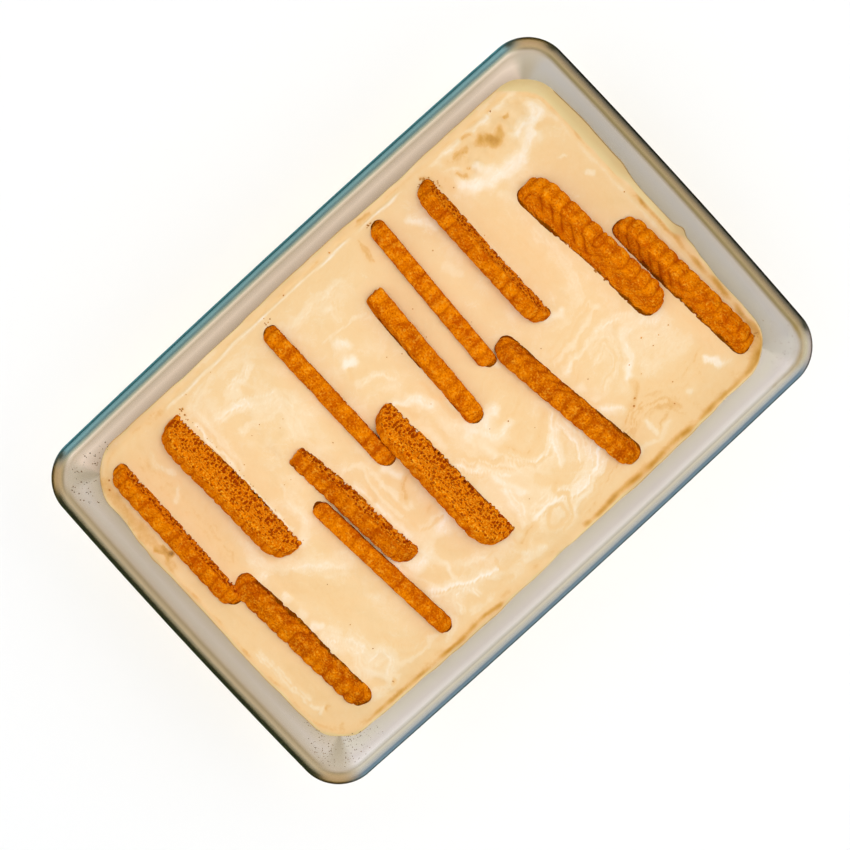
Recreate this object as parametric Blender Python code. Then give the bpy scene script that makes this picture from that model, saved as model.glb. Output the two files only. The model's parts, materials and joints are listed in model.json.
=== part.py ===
"""No-bake yoghurt cheesecake set in a clear glass dish, with caramel biscuits pushed in on edge.

The dish stands on z = 0 with its centre over the origin. X runs along its long side, Y along
its short side and Z up. All lengths are in metres and all angles in degrees.
"""

import math
import random
from dataclasses import dataclass

import bmesh
import bpy
from mathutils import Euler, Matrix, Vector

MM = 0.001

# Dish
DISH_LENGTH = 225 * MM
DISH_WIDTH = 150 * MM
DISH_HEIGHT = 55 * MM
SIDE_BOW = 1.2 * MM
CORNER_STEPS = 8
SIDE_STEPS = 6
FLOOR_THICKNESS = 5 * MM
FOOT_RECESS = 0.8 * MM

# Cream
CREAM_LEVEL = 33 * MM
GAP = 0.3 * MM
CREAM_CLIMB = 1.1 * MM
CLIMB_REACH = 2.0
CORNER_TIGHTENING = 0.3
SMALLEST_CORNER = 3.0
SWELL_HEIGHT = 0.45 * MM
SWELL_WAVES = ((0.6, 0.083, 0.117, 1.1), (0.5, 0.083, -0.117, 1.5), (0.4, 0.19, -0.13, 0.0))
FOAM_HEIGHT = 1.0 * MM
FOAM_PLACE = (72 * MM, 50 * MM)
FOAM_SPREAD = 17 * MM
SLOT_CLEARANCE = 0.35 * MM

# Biscuit
BISCUIT_LENGTH = 61 * MM
BISCUIT_WIDTH = 31 * MM
BISCUIT_THICKNESS = 6.0 * MM
BISCUIT_CORNER = 8 * MM
SCALLOP_COUNT = 34
SCALLOP_DEPTH = 0.6 * MM
MOULD_DRAFT = 2.0 * MM
SHOULDER_DRAFT = 0.5 * MM
SHOULDER_SIDE = -0.3 * MM
BREAK_POINTS = 7
BREAK_ROUGHNESS = 0.8 * MM
BREAK_MARGIN = 0.5 * MM
BREAK_CORNER = 0.5 * MM
SLOT_CORNER_STEPS = 4

GLASS = (0.62, 0.58, 0.48)
CREAM = (0.94, 0.62, 0.33)
CRUST = (0.60, 0.20, 0.035)


@dataclass
class Biscuit:
    """One biscuit standing on its long side in the cream.

    x, y   plan place of the middle of its top edge, in millimetres
    rise   height of that middle over the cream, in millimetres
    yaw    turn from the Y axis, anticlockwise seen from above
    lean   tilt from upright: over 0 the flat back looks up, under 0 the patterned front does
    pitch  how far the +Y end is raised
    back   +1 where the back is on the +X side, -1 where the front is
    whole  length left where the +Y end is snapped off, in millimetres
    """

    x: float
    y: float
    rise: float
    yaw: float
    lean: float
    pitch: float
    back: int
    whole: float = BISCUIT_LENGTH / MM


BISCUITS = (
    Biscuit(x=-94.8, y=27.3, rise=5.4, yaw=-0.4, lean=19, pitch=0.8, back=1),
    Biscuit(x=-73.6, y=26.6, rise=8.9, yaw=1.8, lean=35, pitch=0, back=1),
    Biscuit(x=-86.2, y=-27.8, rise=3.8, yaw=4.7, lean=-32, pitch=0.5, back=-1),
    Biscuit(x=-22.8, y=27.3, rise=4.5, yaw=0.5, lean=3, pitch=0, back=1),
    Biscuit(x=-44.9, y=-1.6, rise=4.5, yaw=4.2, lean=28, pitch=-4.0, back=1, whole=51.6),
    Biscuit(x=-48.4, y=-27.7, rise=4.8, yaw=4.3, lean=-4, pitch=0, back=-1),
    Biscuit(x=-17.9, y=-18.2, rise=9.3, yaw=0.3, lean=35, pitch=-2.5, back=1),
    Biscuit(x=11.6, y=17.7, rise=5.8, yaw=-2.2, lean=-12, pitch=1.5, back=1, whole=54.2),
    Biscuit(x=26.5, y=28.8, rise=4.6, yaw=-2.4, lean=4, pitch=0, back=1),
    Biscuit(x=45.8, y=27.4, rise=7.8, yaw=0, lean=26, pitch=0, back=1),
    Biscuit(x=34.0, y=-28.8, rise=5.6, yaw=7.4, lean=-28, pitch=0.5, back=-1),
    Biscuit(x=81.5, y=4.1, rise=8.9, yaw=4.3, lean=-31, pitch=2.0, back=1),
    Biscuit(x=94.0, y=-26.1, rise=6.1, yaw=3.4, lean=-26, pitch=1.0, back=1),
)


@dataclass
class Level:
    """One level of a wall: its inset from the rim's edge, its corner radius and its height, in mm."""

    inset: float
    corner: float
    height: float


RIM_TOP = DISH_HEIGHT / MM
FLOOR_TOP = FLOOR_THICKNESS / MM

OUTER_LEVELS = (
    Level(28.5, 9.0, FOOT_RECESS / MM),
    Level(27.0, 9.5, 0.0),
    Level(20.5, 13.5, 0.0),
    Level(17.5, 15.5, 0.7),
    Level(15.0, 16.5, 2.6),
    Level(13.2, 17.0, 6.0),
    Level(9.2, 17.2, 18.0),
    Level(5.4, 16.6, 33.0),
    Level(2.2, 15.0, RIM_TOP - 9.0),
    Level(1.3, 14.4, RIM_TOP - 5.6),
    Level(0.35, 14.3, RIM_TOP - 4.8),
    Level(0.0, 14.2, RIM_TOP - 3.2),
    Level(0.3, 14.0, RIM_TOP - 1.5),
    Level(1.1, 13.5, RIM_TOP - 0.4),
    Level(2.1, 12.7, RIM_TOP),
    Level(3.2, 11.8, RIM_TOP - 0.2),
    Level(3.9, 11.2, RIM_TOP - 0.8),
)
INNER_LEVELS = (
    Level(4.3, 11.0, RIM_TOP - 1.8),
    Level(5.5, 11.4, RIM_TOP - 6.0),
    Level(7.6, 12.8, 41.0),
    Level(9.6, 14.0, 33.0),
    Level(12.2, 14.6, 22.0),
    Level(14.6, 14.6, 12.0),
    Level(16.2, 13.8, FLOOR_TOP + 3.2),
    Level(18.8, 12.4, FLOOR_TOP + 0.8),
    Level(22.5, 10.0, FLOOR_TOP),
)

CREAM_RINGS = (0, 0.8, 2.2, 4.5, 8, 12, 16.5, 21.5, 27, 32.5, 38.5, 45, 52, 58)


def clear_scene():
    """Remove every object that the scene starts with."""
    for item in list(bpy.data.objects):
        bpy.data.objects.remove(item, do_unlink=True)


def new_collection(name):
    """Return a new collection linked to the scene."""
    collection = bpy.data.collections.new(name)
    bpy.context.scene.collection.children.link(collection)
    return collection


def new_material(name, colour, roughness, transmission=0.0):
    """Return a Principled material of one colour."""
    material = bpy.data.materials.new(name)
    material.use_nodes = True
    shader = material.node_tree.nodes["Principled BSDF"]
    shader.inputs["Base Color"].default_value = (*colour, 1.0)
    shader.inputs["Roughness"].default_value = roughness
    shader.inputs["Metallic"].default_value = 0.0
    shader.inputs["Transmission Weight"].default_value = transmission
    material.diffuse_color = (*colour, 1.0)
    return material


def new_object(name, shape, collection, material=None):
    """Return an object that holds the bmesh `shape`, which is freed."""
    bmesh.ops.recalc_face_normals(shape, faces=shape.faces)
    mesh = bpy.data.meshes.new(name)
    shape.to_mesh(mesh)
    shape.free()
    if material:
        mesh.materials.append(material)
    item = bpy.data.objects.new(name, mesh)
    collection.objects.link(item)
    return item


def outline(half_x, half_y, corner):
    """Return the points of a rounded rectangle whose sides bow out a little."""
    points = []
    side_x = half_x - SIDE_BOW
    side_y = half_y - SIDE_BOW
    signs = ((1, 1), (-1, 1), (-1, -1), (1, -1))
    for index, (sign_x, sign_y) in enumerate(signs):
        centre = Vector((sign_x * (side_x - corner), sign_y * (side_y - corner)))
        start = index * math.pi / 2
        for step in range(CORNER_STEPS + 1):
            angle = start + step / CORNER_STEPS * math.pi / 2
            points.append(centre + corner * Vector((math.cos(angle), math.sin(angle))))
        last = points[-1]
        turn = start + math.pi / 2
        along = Vector((-math.sin(turn), math.cos(turn)))
        run = 2 * ((side_x if index % 2 == 0 else side_y) - corner)
        for step in range(1, SIDE_STEPS):
            points.append(last + along * run * step / SIDE_STEPS)
    bowed = []
    for point in points:
        out_x = SIDE_BOW * (1 - (point.y / side_y) ** 2) * point.x / side_x
        out_y = SIDE_BOW * (1 - (point.x / side_x) ** 2) * point.y / side_y
        bowed.append(point + Vector((out_x, out_y)))
    return bowed


def level_outline(level, gap=0.0):
    """Return a wall level's outline, drawn in by `gap`."""
    inset = level.inset * MM + gap
    corner = level.corner * MM - gap
    return outline(DISH_LENGTH / 2 - inset, DISH_WIDTH / 2 - inset, corner)


def bridge(shape, low, high):
    """Join two rings of as many vertices with quads."""
    count = len(low)
    for index in range(count):
        after = (index + 1) % count
        shape.faces.new((low[index], low[after], high[after], high[index]))


def cap(shape, ring):
    """Close a ring with a fan of triangles round its middle."""
    middle = sum((vertex.co for vertex in ring), Vector()) / len(ring)
    hub = shape.verts.new(middle)
    for vertex, after in zip(ring, ring[1:] + ring[:1]):
        shape.faces.new((hub, vertex, after))


def loft(shape, rings):
    """Join a run of rings and cap both ends."""
    for low, high in zip(rings, rings[1:]):
        bridge(shape, low, high)
    cap(shape, list(reversed(rings[0])))
    cap(shape, rings[-1])


def make_dish(collection, material):
    """Make the clear dish, from under its foot over the rim to its inner floor."""
    shape = bmesh.new()
    rings = []
    for level in OUTER_LEVELS + INNER_LEVELS:
        points = level_outline(level)
        rings.append([shape.verts.new((point.x, point.y, level.height * MM)) for point in points])
    loft(shape, rings)
    return new_object("dish", shape, collection, material)


def cream_height(point, inset):
    """Return the cream's height at a plan point that is `inset` millimetres from the wall.

    The surface has low swells, a foamy corner and an edge that climbs the glass.
    """
    across = point.x / MM
    along = point.y / MM
    swell = 0.0
    for share, per_x, per_y, phase in SWELL_WAVES:
        swell += share * math.sin(across * per_x + along * per_y + phase)
    distance = math.hypot(point.x - FOAM_PLACE[0], point.y - FOAM_PLACE[1])
    foam = FOAM_HEIGHT * math.exp(-((distance / FOAM_SPREAD) ** 2))
    climb = CREAM_CLIMB * math.exp(-inset / CLIMB_REACH)
    return CREAM_LEVEL + SWELL_HEIGHT * swell + foam + climb


def level_at(height):
    """Return the inner wall's level at a height, between the two that are named."""
    wanted = height / MM
    for upper, lower in zip(INNER_LEVELS, INNER_LEVELS[1:]):
        if lower.height <= wanted <= upper.height:
            share = (wanted - lower.height) / (upper.height - lower.height)
            inset = lower.inset + share * (upper.inset - lower.inset)
            corner = lower.corner + share * (upper.corner - lower.corner)
            return Level(inset, corner, wanted)
    raise ValueError("no wall at this height")


def make_cream(collection, material):
    """Make the cream up to the level shown, a hair clear of the glass."""
    shape = bmesh.new()
    rings = []
    for level in reversed(INNER_LEVELS):
        if level.height * MM < CREAM_LEVEL:
            height = max(level.height * MM, FLOOR_THICKNESS + GAP)
            points = level_outline(level, GAP)
            rings.append([shape.verts.new((point.x, point.y, height)) for point in points])
    brim = level_at(CREAM_LEVEL)
    for inset in CREAM_RINGS:
        corner = max(brim.corner - CORNER_TIGHTENING * inset, SMALLEST_CORNER)
        points = level_outline(Level(brim.inset + inset, corner, brim.height), GAP)
        heights = [cream_height(point, inset) for point in points]
        ring = [shape.verts.new((point.x, point.y, z)) for point, z in zip(points, heights)]
        rings.append(ring)
    loft(shape, rings)
    return new_object("cream", shape, collection, material)


def edge_path(length, width, corner):
    """Return points and outward directions along a biscuit's outline, half a scallop apart."""
    straight_x = length - 2 * corner
    straight_z = width - 2 * corner
    arc = corner * math.pi / 2
    runs = (
        (straight_x, Vector((-straight_x / 2, 0)), Vector((1, 0)), 90),
        (straight_z, Vector((length / 2, -corner)), Vector((0, -1)), 0),
        (straight_x, Vector((straight_x / 2, -width)), Vector((-1, 0)), -90),
        (straight_z, Vector((-length / 2, -width + corner)), Vector((0, 1)), -180),
    )
    total = 2 * (straight_x + straight_z) + 4 * arc
    count = 2 * SCALLOP_COUNT
    path = []
    for index in range(count):
        travelled = total * index / count
        for run, start, direction, angle in runs:
            if travelled <= run:
                out = Vector((math.cos(math.radians(angle)), math.sin(math.radians(angle))))
                path.append((start + direction * travelled, out))
                break
            travelled -= run
            if travelled <= arc:
                out_angle = math.radians(angle) - travelled / corner
                out = Vector((math.cos(out_angle), math.sin(out_angle)))
                turn_angle = math.radians(angle)
                turn_out = Vector((math.cos(turn_angle), math.sin(turn_angle)))
                centre = start + direction * run - corner * turn_out
                path.append((centre + corner * out, out))
                break
            travelled -= arc
    return path


def break_place(biscuit):
    """Return how far from a biscuit's middle its +Y end is snapped off, or None."""
    if biscuit.whole * MM >= BISCUIT_LENGTH:
        return None
    return biscuit.whole * MM - BISCUIT_LENGTH / 2


def biscuit_ring(biscuit, inset, side, seed):
    """Return one scalloped outline of a biscuit, at `side` across its thickness."""
    path = edge_path(BISCUIT_LENGTH, BISCUIT_WIDTH, BISCUIT_CORNER)
    snapped = break_place(biscuit)
    sign = -biscuit.back
    points = []
    lost = []
    for index, (place, out) in enumerate(path):
        dip = SCALLOP_DEPTH if index % 2 else 0
        point = place - out * (dip + inset)
        points.append(Vector((point.x, side, point.y)))
        lost.append(snapped is not None and sign * place.x > snapped - BREAK_MARGIN)
    if snapped is None:
        return points
    return snap_end(points, lost, sign * snapped, seed)


def snap_end(points, lost, snapped, seed):
    """Replace the lost stretch of an outline with a rough break across the biscuit."""
    count = len(points)
    first_lost = next(i for i in range(count) if lost[i] and not lost[i - 1])
    first_kept = next(i for i in range(count) if lost[i - 1] and not lost[i])
    kept = [points[(first_kept + step) % count] for step in range(count - sum(lost))]
    start = points[first_lost - 1]
    end = points[first_kept]
    draw = random.Random(seed)
    rough = []
    for step in range(1, BREAK_POINTS + 1):
        point = start.lerp(end, step / (BREAK_POINTS + 1))
        point.x = snapped + draw.uniform(-1, 1) * BREAK_ROUGHNESS
        rough.append(point)
    return kept + rough


def biscuit_matrix(biscuit):
    """Return the placement of a biscuit: leaned, pitched, turned and set into the cream."""
    turn = -90 * biscuit.back + biscuit.yaw
    pitch = biscuit.pitch * biscuit.back
    angles = (math.radians(biscuit.lean), math.radians(pitch), math.radians(turn))
    place = Vector((biscuit.x * MM, biscuit.y * MM, CREAM_LEVEL + biscuit.rise * MM))
    return Matrix.Translation(place) @ Euler(angles, "XYZ").to_matrix().to_4x4()


def biscuit_section():
    """Return the inset and the side of each outline through a biscuit's thickness, back to front."""
    half = BISCUIT_THICKNESS / 2
    return (0, half), (SHOULDER_DRAFT, SHOULDER_SIDE), (MOULD_DRAFT, -half)


def make_biscuit(name, biscuit, collection, material, seed):
    """Make one biscuit: a scalloped slab whose side draws in towards its patterned front."""
    shape = bmesh.new()
    rings = []
    for inset, side in biscuit_section():
        points = biscuit_ring(biscuit, inset, side, seed)
        rings.append([shape.verts.new(point) for point in points])
    loft(shape, rings)
    item = new_object(name, shape, collection, material)
    item.matrix_world = biscuit_matrix(biscuit)
    return item


def slot_corner(end, top, reach, corner, inset):
    """Return the points of one rounded corner of a slot, going clockwise round it."""
    first = {(1, 1): 90, (1, -1): 0, (-1, -1): -90, (-1, 1): -180}[(end, top)]
    centre_x = end * (reach - corner)
    centre_z = SLOT_CLEARANCE - inset - corner
    if top < 0:
        centre_z = corner + inset - BISCUIT_WIDTH - SLOT_CLEARANCE
    points = []
    for step in range(SLOT_CORNER_STEPS + 1):
        angle = math.radians(first - 90 * step / SLOT_CORNER_STEPS)
        points.append((centre_x + corner * math.cos(angle), centre_z + corner * math.sin(angle)))
    return points


def slot_outline(biscuit, inset):
    """Return the plain outline that clears a biscuit's scallops, drawn in by `inset`."""
    snapped = break_place(biscuit)
    points = []
    for end, top in ((1, 1), (1, -1), (-1, -1), (-1, 1)):
        if snapped is not None and end == -biscuit.back:
            reach = snapped + BREAK_ROUGHNESS + SLOT_CLEARANCE
            points += slot_corner(end, top, reach, BREAK_CORNER, inset)
        else:
            reach = BISCUIT_LENGTH / 2 + SLOT_CLEARANCE - inset
            points += slot_corner(end, top, reach, BISCUIT_CORNER - inset, inset)
    return points


def make_slot_cutter(name, biscuit, collection):
    """Make the plain rounded slab that clears a biscuit's slot in the cream."""
    shape = bmesh.new()
    half = BISCUIT_THICKNESS / 2
    rings = []
    for inset, side in biscuit_section():
        outward = math.copysign(SLOT_CLEARANCE, side) if abs(side) == half else 0
        points = slot_outline(biscuit, inset)
        rings.append([shape.verts.new((across, side + outward, up)) for across, up in points])
    loft(shape, rings)
    item = new_object(name, shape, collection)
    item.matrix_world = biscuit_matrix(biscuit)
    item.hide_render = True
    item.display_type = "WIRE"
    return item


def main():
    clear_scene()
    dessert = new_collection("yoghurt_cheesecake")
    cutters = new_collection("cutters")
    glass = new_material("clear_glass", GLASS, 0.05, transmission=0.9)
    cream_material = new_material("set_cream", CREAM, 0.35)
    crust = new_material("caramel_biscuit", CRUST, 0.75)
    make_dish(dessert, glass)
    cream = make_cream(dessert, cream_material)
    for index, biscuit in enumerate(BISCUITS, start=1):
        make_biscuit(f"biscuit_{index:02d}", biscuit, dessert, crust, seed=index)
        make_slot_cutter(f"slot_{index:02d}", biscuit, cutters)
    slots = cream.modifiers.new("slots", "BOOLEAN")
    slots.operation = "DIFFERENCE"
    slots.operand_type = "COLLECTION"
    slots.collection = cutters
    slots.solver = "EXACT"


main()
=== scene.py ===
"""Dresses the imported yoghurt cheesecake: a clear glass dish, marbled cream and caramel biscuits on edge."""

from __future__ import annotations

import json
import logging
import math
from dataclasses import dataclass, field
from enum import Enum

import bmesh
import bpy
import numpy as np
from mathutils import Euler, Matrix, Vector

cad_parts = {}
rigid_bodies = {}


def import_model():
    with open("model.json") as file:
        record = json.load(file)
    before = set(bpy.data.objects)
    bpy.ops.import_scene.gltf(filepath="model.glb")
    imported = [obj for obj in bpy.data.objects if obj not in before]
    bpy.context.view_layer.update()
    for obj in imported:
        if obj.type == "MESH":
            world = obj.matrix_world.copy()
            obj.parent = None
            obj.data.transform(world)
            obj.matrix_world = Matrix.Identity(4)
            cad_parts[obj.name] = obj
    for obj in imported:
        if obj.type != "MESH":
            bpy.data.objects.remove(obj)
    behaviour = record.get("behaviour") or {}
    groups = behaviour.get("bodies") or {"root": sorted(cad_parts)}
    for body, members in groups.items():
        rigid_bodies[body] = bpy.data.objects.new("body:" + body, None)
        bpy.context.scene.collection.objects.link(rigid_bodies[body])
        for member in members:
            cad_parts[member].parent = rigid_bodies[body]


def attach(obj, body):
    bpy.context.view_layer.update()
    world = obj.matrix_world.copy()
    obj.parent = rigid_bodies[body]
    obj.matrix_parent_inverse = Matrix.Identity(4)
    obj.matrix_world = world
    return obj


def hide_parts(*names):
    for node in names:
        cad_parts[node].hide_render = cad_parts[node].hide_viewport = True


LOG = logging.getLogger("cheesecake")
MM = 0.001
BODY = "root"

Colour = tuple[float, float, float]
Place = tuple[float, float]


class Slot(Enum):
    """The record's material slots."""

    GLASS = "clear_glass"
    CREAM = "set_cream"
    CRUST = "caramel_biscuit"


def linear(red: float, green: float, blue: float) -> Colour:
    """Turn a colour given as 0 to 255 on a screen into linear light.

    Args:
        red: Red, 0 to 255.
        green: Green, 0 to 255.
        blue: Blue, 0 to 255.

    Returns:
        The linear colour, 0 to 1.
    """
    parts = [part / 255 for part in (red, green, blue)]
    return tuple(p / 12.92 if p <= 0.04045 else ((p + 0.055) / 1.055) ** 2.4 for p in parts)


# ---------------------------------------------------------------- node trees


class Field:
    """One output of a node tree, which can be used in sums like a number."""

    def __init__(self, tree: Tree, socket: bpy.types.NodeSocket) -> None:
        """Keep the tree and its output socket."""
        self.tree = tree
        self.socket = socket

    def __add__(self, other: Field | float) -> Field:
        """Return the sum."""
        return self.tree.math("ADD", self, other)

    __radd__ = __add__

    def __sub__(self, other: Field | float) -> Field:
        """Return the difference."""
        return self.tree.math("SUBTRACT", self, other)

    def __rsub__(self, other: float) -> Field:
        """Return the difference from a number."""
        return self.tree.math("SUBTRACT", other, self)

    def __mul__(self, other: Field | float) -> Field:
        """Return the product."""
        return self.tree.math("MULTIPLY", self, other)

    __rmul__ = __mul__

    def __truediv__(self, other: Field | float) -> Field:
        """Return the quotient."""
        return self.tree.math("DIVIDE", self, other)

    def __pow__(self, other: float) -> Field:
        """Return the power."""
        return self.tree.math("POWER", self, other)

    def __abs__(self) -> Field:
        """Return the size without its sign."""
        return self.tree.math("ABSOLUTE", self)


class Tree:
    """A node tree with short calls for the nodes that this script uses."""

    def __init__(self, tree: bpy.types.NodeTree) -> None:
        """Keep the node tree."""
        self.tree = tree

    def add(self, kind: str, sockets: dict | None = None, **settings) -> bpy.types.Node:
        """Add a node.

        Args:
            kind: The node's type name.
            sockets: Values or fields for its inputs, by name or number.
            **settings: The node's own settings.

        Returns:
            The node.
        """
        node = self.tree.nodes.new(kind)
        for name, value in settings.items():
            setattr(node, name, value)
        for name, value in (sockets or {}).items():
            self.feed(node.inputs[name], value)
        return node

    def feed(self, socket: bpy.types.NodeSocket, value: object) -> None:
        """Link a field to an input, or set the input to a constant."""
        if isinstance(value, Field):
            self.tree.links.new(value.socket, socket)
        else:
            socket.default_value = value

    def out(self, node: bpy.types.Node, name: str | int = 0) -> Field:
        """Return one output of a node as a field."""
        return Field(self, node.outputs[name])

    def math(self, operation: str, *values: Field | float) -> Field:
        """Return a Math node's result."""
        return self.out(self.add("ShaderNodeMath", dict(enumerate(values)), operation=operation))

    def vector(self, operation: str, *values: object, result: str | int = 0) -> Field:
        """Return a Vector Math node's result."""
        node = self.add("ShaderNodeVectorMath", operation=operation)
        for index, value in enumerate(values):
            self.feed(node.inputs[index], value)
        return self.out(node, result)

    def scaled(self, vector: Field, factor: Field | float) -> Field:
        """Return a vector times a number."""
        node = self.add("ShaderNodeVectorMath", {0: vector, "Scale": factor}, operation="SCALE")
        return self.out(node)

    def join(self, x: Field | float, y: Field | float, z: Field | float) -> Field:
        """Return a vector made of three numbers."""
        return self.out(self.add("ShaderNodeCombineXYZ", {0: x, 1: y, 2: z}))

    def split(self, vector: Field) -> tuple[Field, Field, Field]:
        """Return a vector's three numbers."""
        node = self.add("ShaderNodeSeparateXYZ", {0: vector})
        return self.out(node, 0), self.out(node, 1), self.out(node, 2)

    def step(self, value: Field | float, low: float, high: float) -> Field:
        """Return 0 below `low`, 1 over `high` and a smooth rise between them."""
        node = self.add("ShaderNodeMapRange", interpolation_type="SMOOTHSTEP")
        turned = low > high
        self.feed(node.inputs["Value"], value)
        node.inputs["From Min"].default_value = min(low, high)
        node.inputs["From Max"].default_value = max(low, high)
        node.inputs["To Min"].default_value = 1.0 if turned else 0.0
        node.inputs["To Max"].default_value = 0.0 if turned else 1.0
        return self.out(node)

    def noise(self, place: Field, scale: float, detail: float = 2.0, warp: float = 0.0) -> Field:
        """Return noise between 0 and 1.

        Args:
            place: Where it is read.
            scale: Lumps for each unit of length.
            detail: Number of finer layers.
            warp: How far the pattern is twisted.

        Returns:
            The noise.
        """
        sockets = {"Vector": place, "Scale": scale, "Detail": detail, "Distortion": warp}
        return self.out(self.add("ShaderNodeTexNoise", sockets), 0)

    def cells(self, place: Field, scale: float, spread: float = 1.0) -> tuple[Field, Field]:
        """Return the distance to the nearest of many scattered points, and that point's own number."""
        sockets = {"Vector": place, "Scale": scale, "Randomness": spread}
        node = self.add("ShaderNodeTexVoronoi", sockets)
        return self.out(node, "Distance"), self.split(self.out(node, "Color"))[0]

    def blend(self, share: Field | float, low: object, high: object) -> Field:
        """Return a colour between two colours."""
        node = self.add("ShaderNodeMix", data_type="RGBA")
        self.feed(node.inputs[0], share)
        for socket, colour in ((node.inputs[6], low), (node.inputs[7], high)):
            self.feed(socket, colour if isinstance(colour, Field) else (*colour, 1.0))
        return self.out(node, 2)

    def ramp(self, value: Field, stops: tuple, whole: float = 1.0) -> Field:
        """Return a colour that runs through several stops as a number grows.

        Args:
            value: The number.
            stops: The number and the colour at each stop, lowest first.
            whole: The number at the ramp's far end.

        Returns:
            The colour.
        """
        node = self.add("ShaderNodeValToRGB", {0: value / whole})
        elements = node.color_ramp.elements
        elements.remove(elements[1])
        for index, (spot, colour) in enumerate(stops):
            stop = elements[0] if index == 0 else elements.new(spot / whole)
            stop.position = spot / whole
            stop.color = (*colour, 1.0)
        return self.out(node, 0)


class Relief(Tree):
    """A Geometry Nodes tree with named inputs."""

    def __init__(self, name: str, inputs: dict[str, float], whole: dict[str, int] | None = None) -> None:
        """Start the tree.

        Args:
            name: The tree's name.
            inputs: Named number inputs with their usual values.
            whole: Named whole-number inputs with their usual values.
        """
        super().__init__(bpy.data.node_groups.new(name, "GeometryNodeTree"))
        face = self.tree.interface
        face.new_socket(name="Geometry", in_out="INPUT", socket_type="NodeSocketGeometry")
        for title, value in inputs.items():
            face.new_socket(name=title, in_out="INPUT", socket_type="NodeSocketFloat").default_value = value
        for title, value in (whole or {}).items():
            face.new_socket(name=title, in_out="INPUT", socket_type="NodeSocketInt").default_value = value
        face.new_socket(name="Material", in_out="INPUT", socket_type="NodeSocketMaterial")
        face.new_socket(name="Geometry", in_out="OUTPUT", socket_type="NodeSocketGeometry")
        self.entry = self.tree.nodes.new("NodeGroupInput")

    def given(self, name: str) -> Field:
        """Return a named input."""
        return self.out(self.entry, name)

    def layer(self, name: str) -> Field:
        """Return a number that the mesh carries at each point."""
        return self.out(self.add("GeometryNodeInputNamedAttribute", {"Name": name}, data_type="FLOAT"))

    def layer_vector(self, name: str) -> Field:
        """Return a vector that the mesh carries at each point."""
        return self.out(self.add("GeometryNodeInputNamedAttribute", {"Name": name}, data_type="FLOAT_VECTOR"))

    def store(self, shape: Field, name: str, value: Field) -> Field:
        """Keep a number on the mesh and return the mesh."""
        sockets = {"Geometry": shape, "Name": name, "Value": value}
        return self.out(self.add("GeometryNodeStoreNamedAttribute", sockets, data_type="FLOAT"))

    def store_vector(self, shape: Field, name: str, value: Field) -> Field:
        """Keep a vector on the mesh and return the mesh."""
        sockets = {"Geometry": shape, "Name": name, "Value": value}
        return self.out(self.add("GeometryNodeStoreNamedAttribute", sockets, data_type="FLOAT_VECTOR"))

    def finish(self, shape: Field) -> None:
        """End the tree with Realize Instances and Set Material."""
        real = self.out(self.add("GeometryNodeRealizeInstances", {"Geometry": shape}))
        sockets = {"Geometry": real, "Material": self.given("Material")}
        dressed = self.out(self.add("GeometryNodeSetMaterial", sockets))
        end = self.tree.nodes.new("NodeGroupOutput")
        self.tree.links.new(dressed.socket, end.inputs[0])

    def apply(self, piece: bpy.types.Object, material: bpy.types.Material, **values: float) -> None:
        """Run the tree on a piece and keep its result as a plain mesh.

        Args:
            piece: The object whose mesh goes in.
            material: The material that the result wears.
            **values: Inputs by name, with _ for a space.
        """
        named = {name.replace("_", " ").capitalize(): value for name, value in values.items()}
        named["Material"] = material
        modifier = piece.modifiers.new(self.tree.name, "NODES")
        modifier.node_group = self.tree
        for item in self.tree.interface.items_tree:
            if item.in_out == "INPUT" and item.name in named:
                modifier[item.identifier] = named[item.name]
        graph = bpy.context.evaluated_depsgraph_get()
        made = bpy.data.meshes.new_from_object(
            piece.evaluated_get(graph), preserve_all_data_layers=True, depsgraph=graph
        )
        piece.modifiers.remove(modifier)
        piece.data = made


class Finish(Tree):
    """A material's node tree round one Principled shader."""

    def __init__(self, name: str) -> None:
        """Start a material of that name."""
        self.material = bpy.data.materials.new(name)
        self.material.use_nodes = True
        super().__init__(self.material.node_tree)
        self.shader = self.tree.nodes["Principled BSDF"]
        self.output = self.tree.nodes["Material Output"]

    def here(self) -> Field:
        """Return the place on the object, in metres."""
        return self.out(self.add("ShaderNodeTexCoord"), "Object")

    def layer(self, name: str) -> Field:
        """Return a number that the mesh carries at each point."""
        return self.out(self.add("ShaderNodeAttribute", attribute_name=name), "Fac")

    def layer_vector(self, name: str) -> Field:
        """Return a vector that the mesh carries at each point."""
        return self.out(self.add("ShaderNodeAttribute", attribute_name=name), "Vector")

    def set(self, **values: object) -> None:
        """Set the shader's inputs, named with _ for a space."""
        for name, value in values.items():
            title = {"ior": "IOR"}.get(name, name.replace("_", " ").title())
            if title == "Specular Ior Level":
                title = "Specular IOR Level"
            if isinstance(value, tuple) and len(value) == 3:
                value = (*value, 1.0)
            self.feed(self.shader.inputs[title], value)

    def bump(self, height: Field, distance: float, strength: float = 1.0) -> None:
        """Give the shader a bump from a height between 0 and 1, `distance` metres deep."""
        sockets = {"Height": height, "Distance": distance, "Strength": strength}
        self.set(normal=self.out(self.add("ShaderNodeBump", sockets)))

    def group(self, group: bpy.types.NodeTree, **sockets: object) -> bpy.types.Node:
        """Add a node group with values for its inputs, named with _ for a space."""
        node = self.add("ShaderNodeGroup", node_tree=group)
        for name, value in sockets.items():
            self.feed(node.inputs[name.replace("_", " ").capitalize()], value)
        return node


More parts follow.
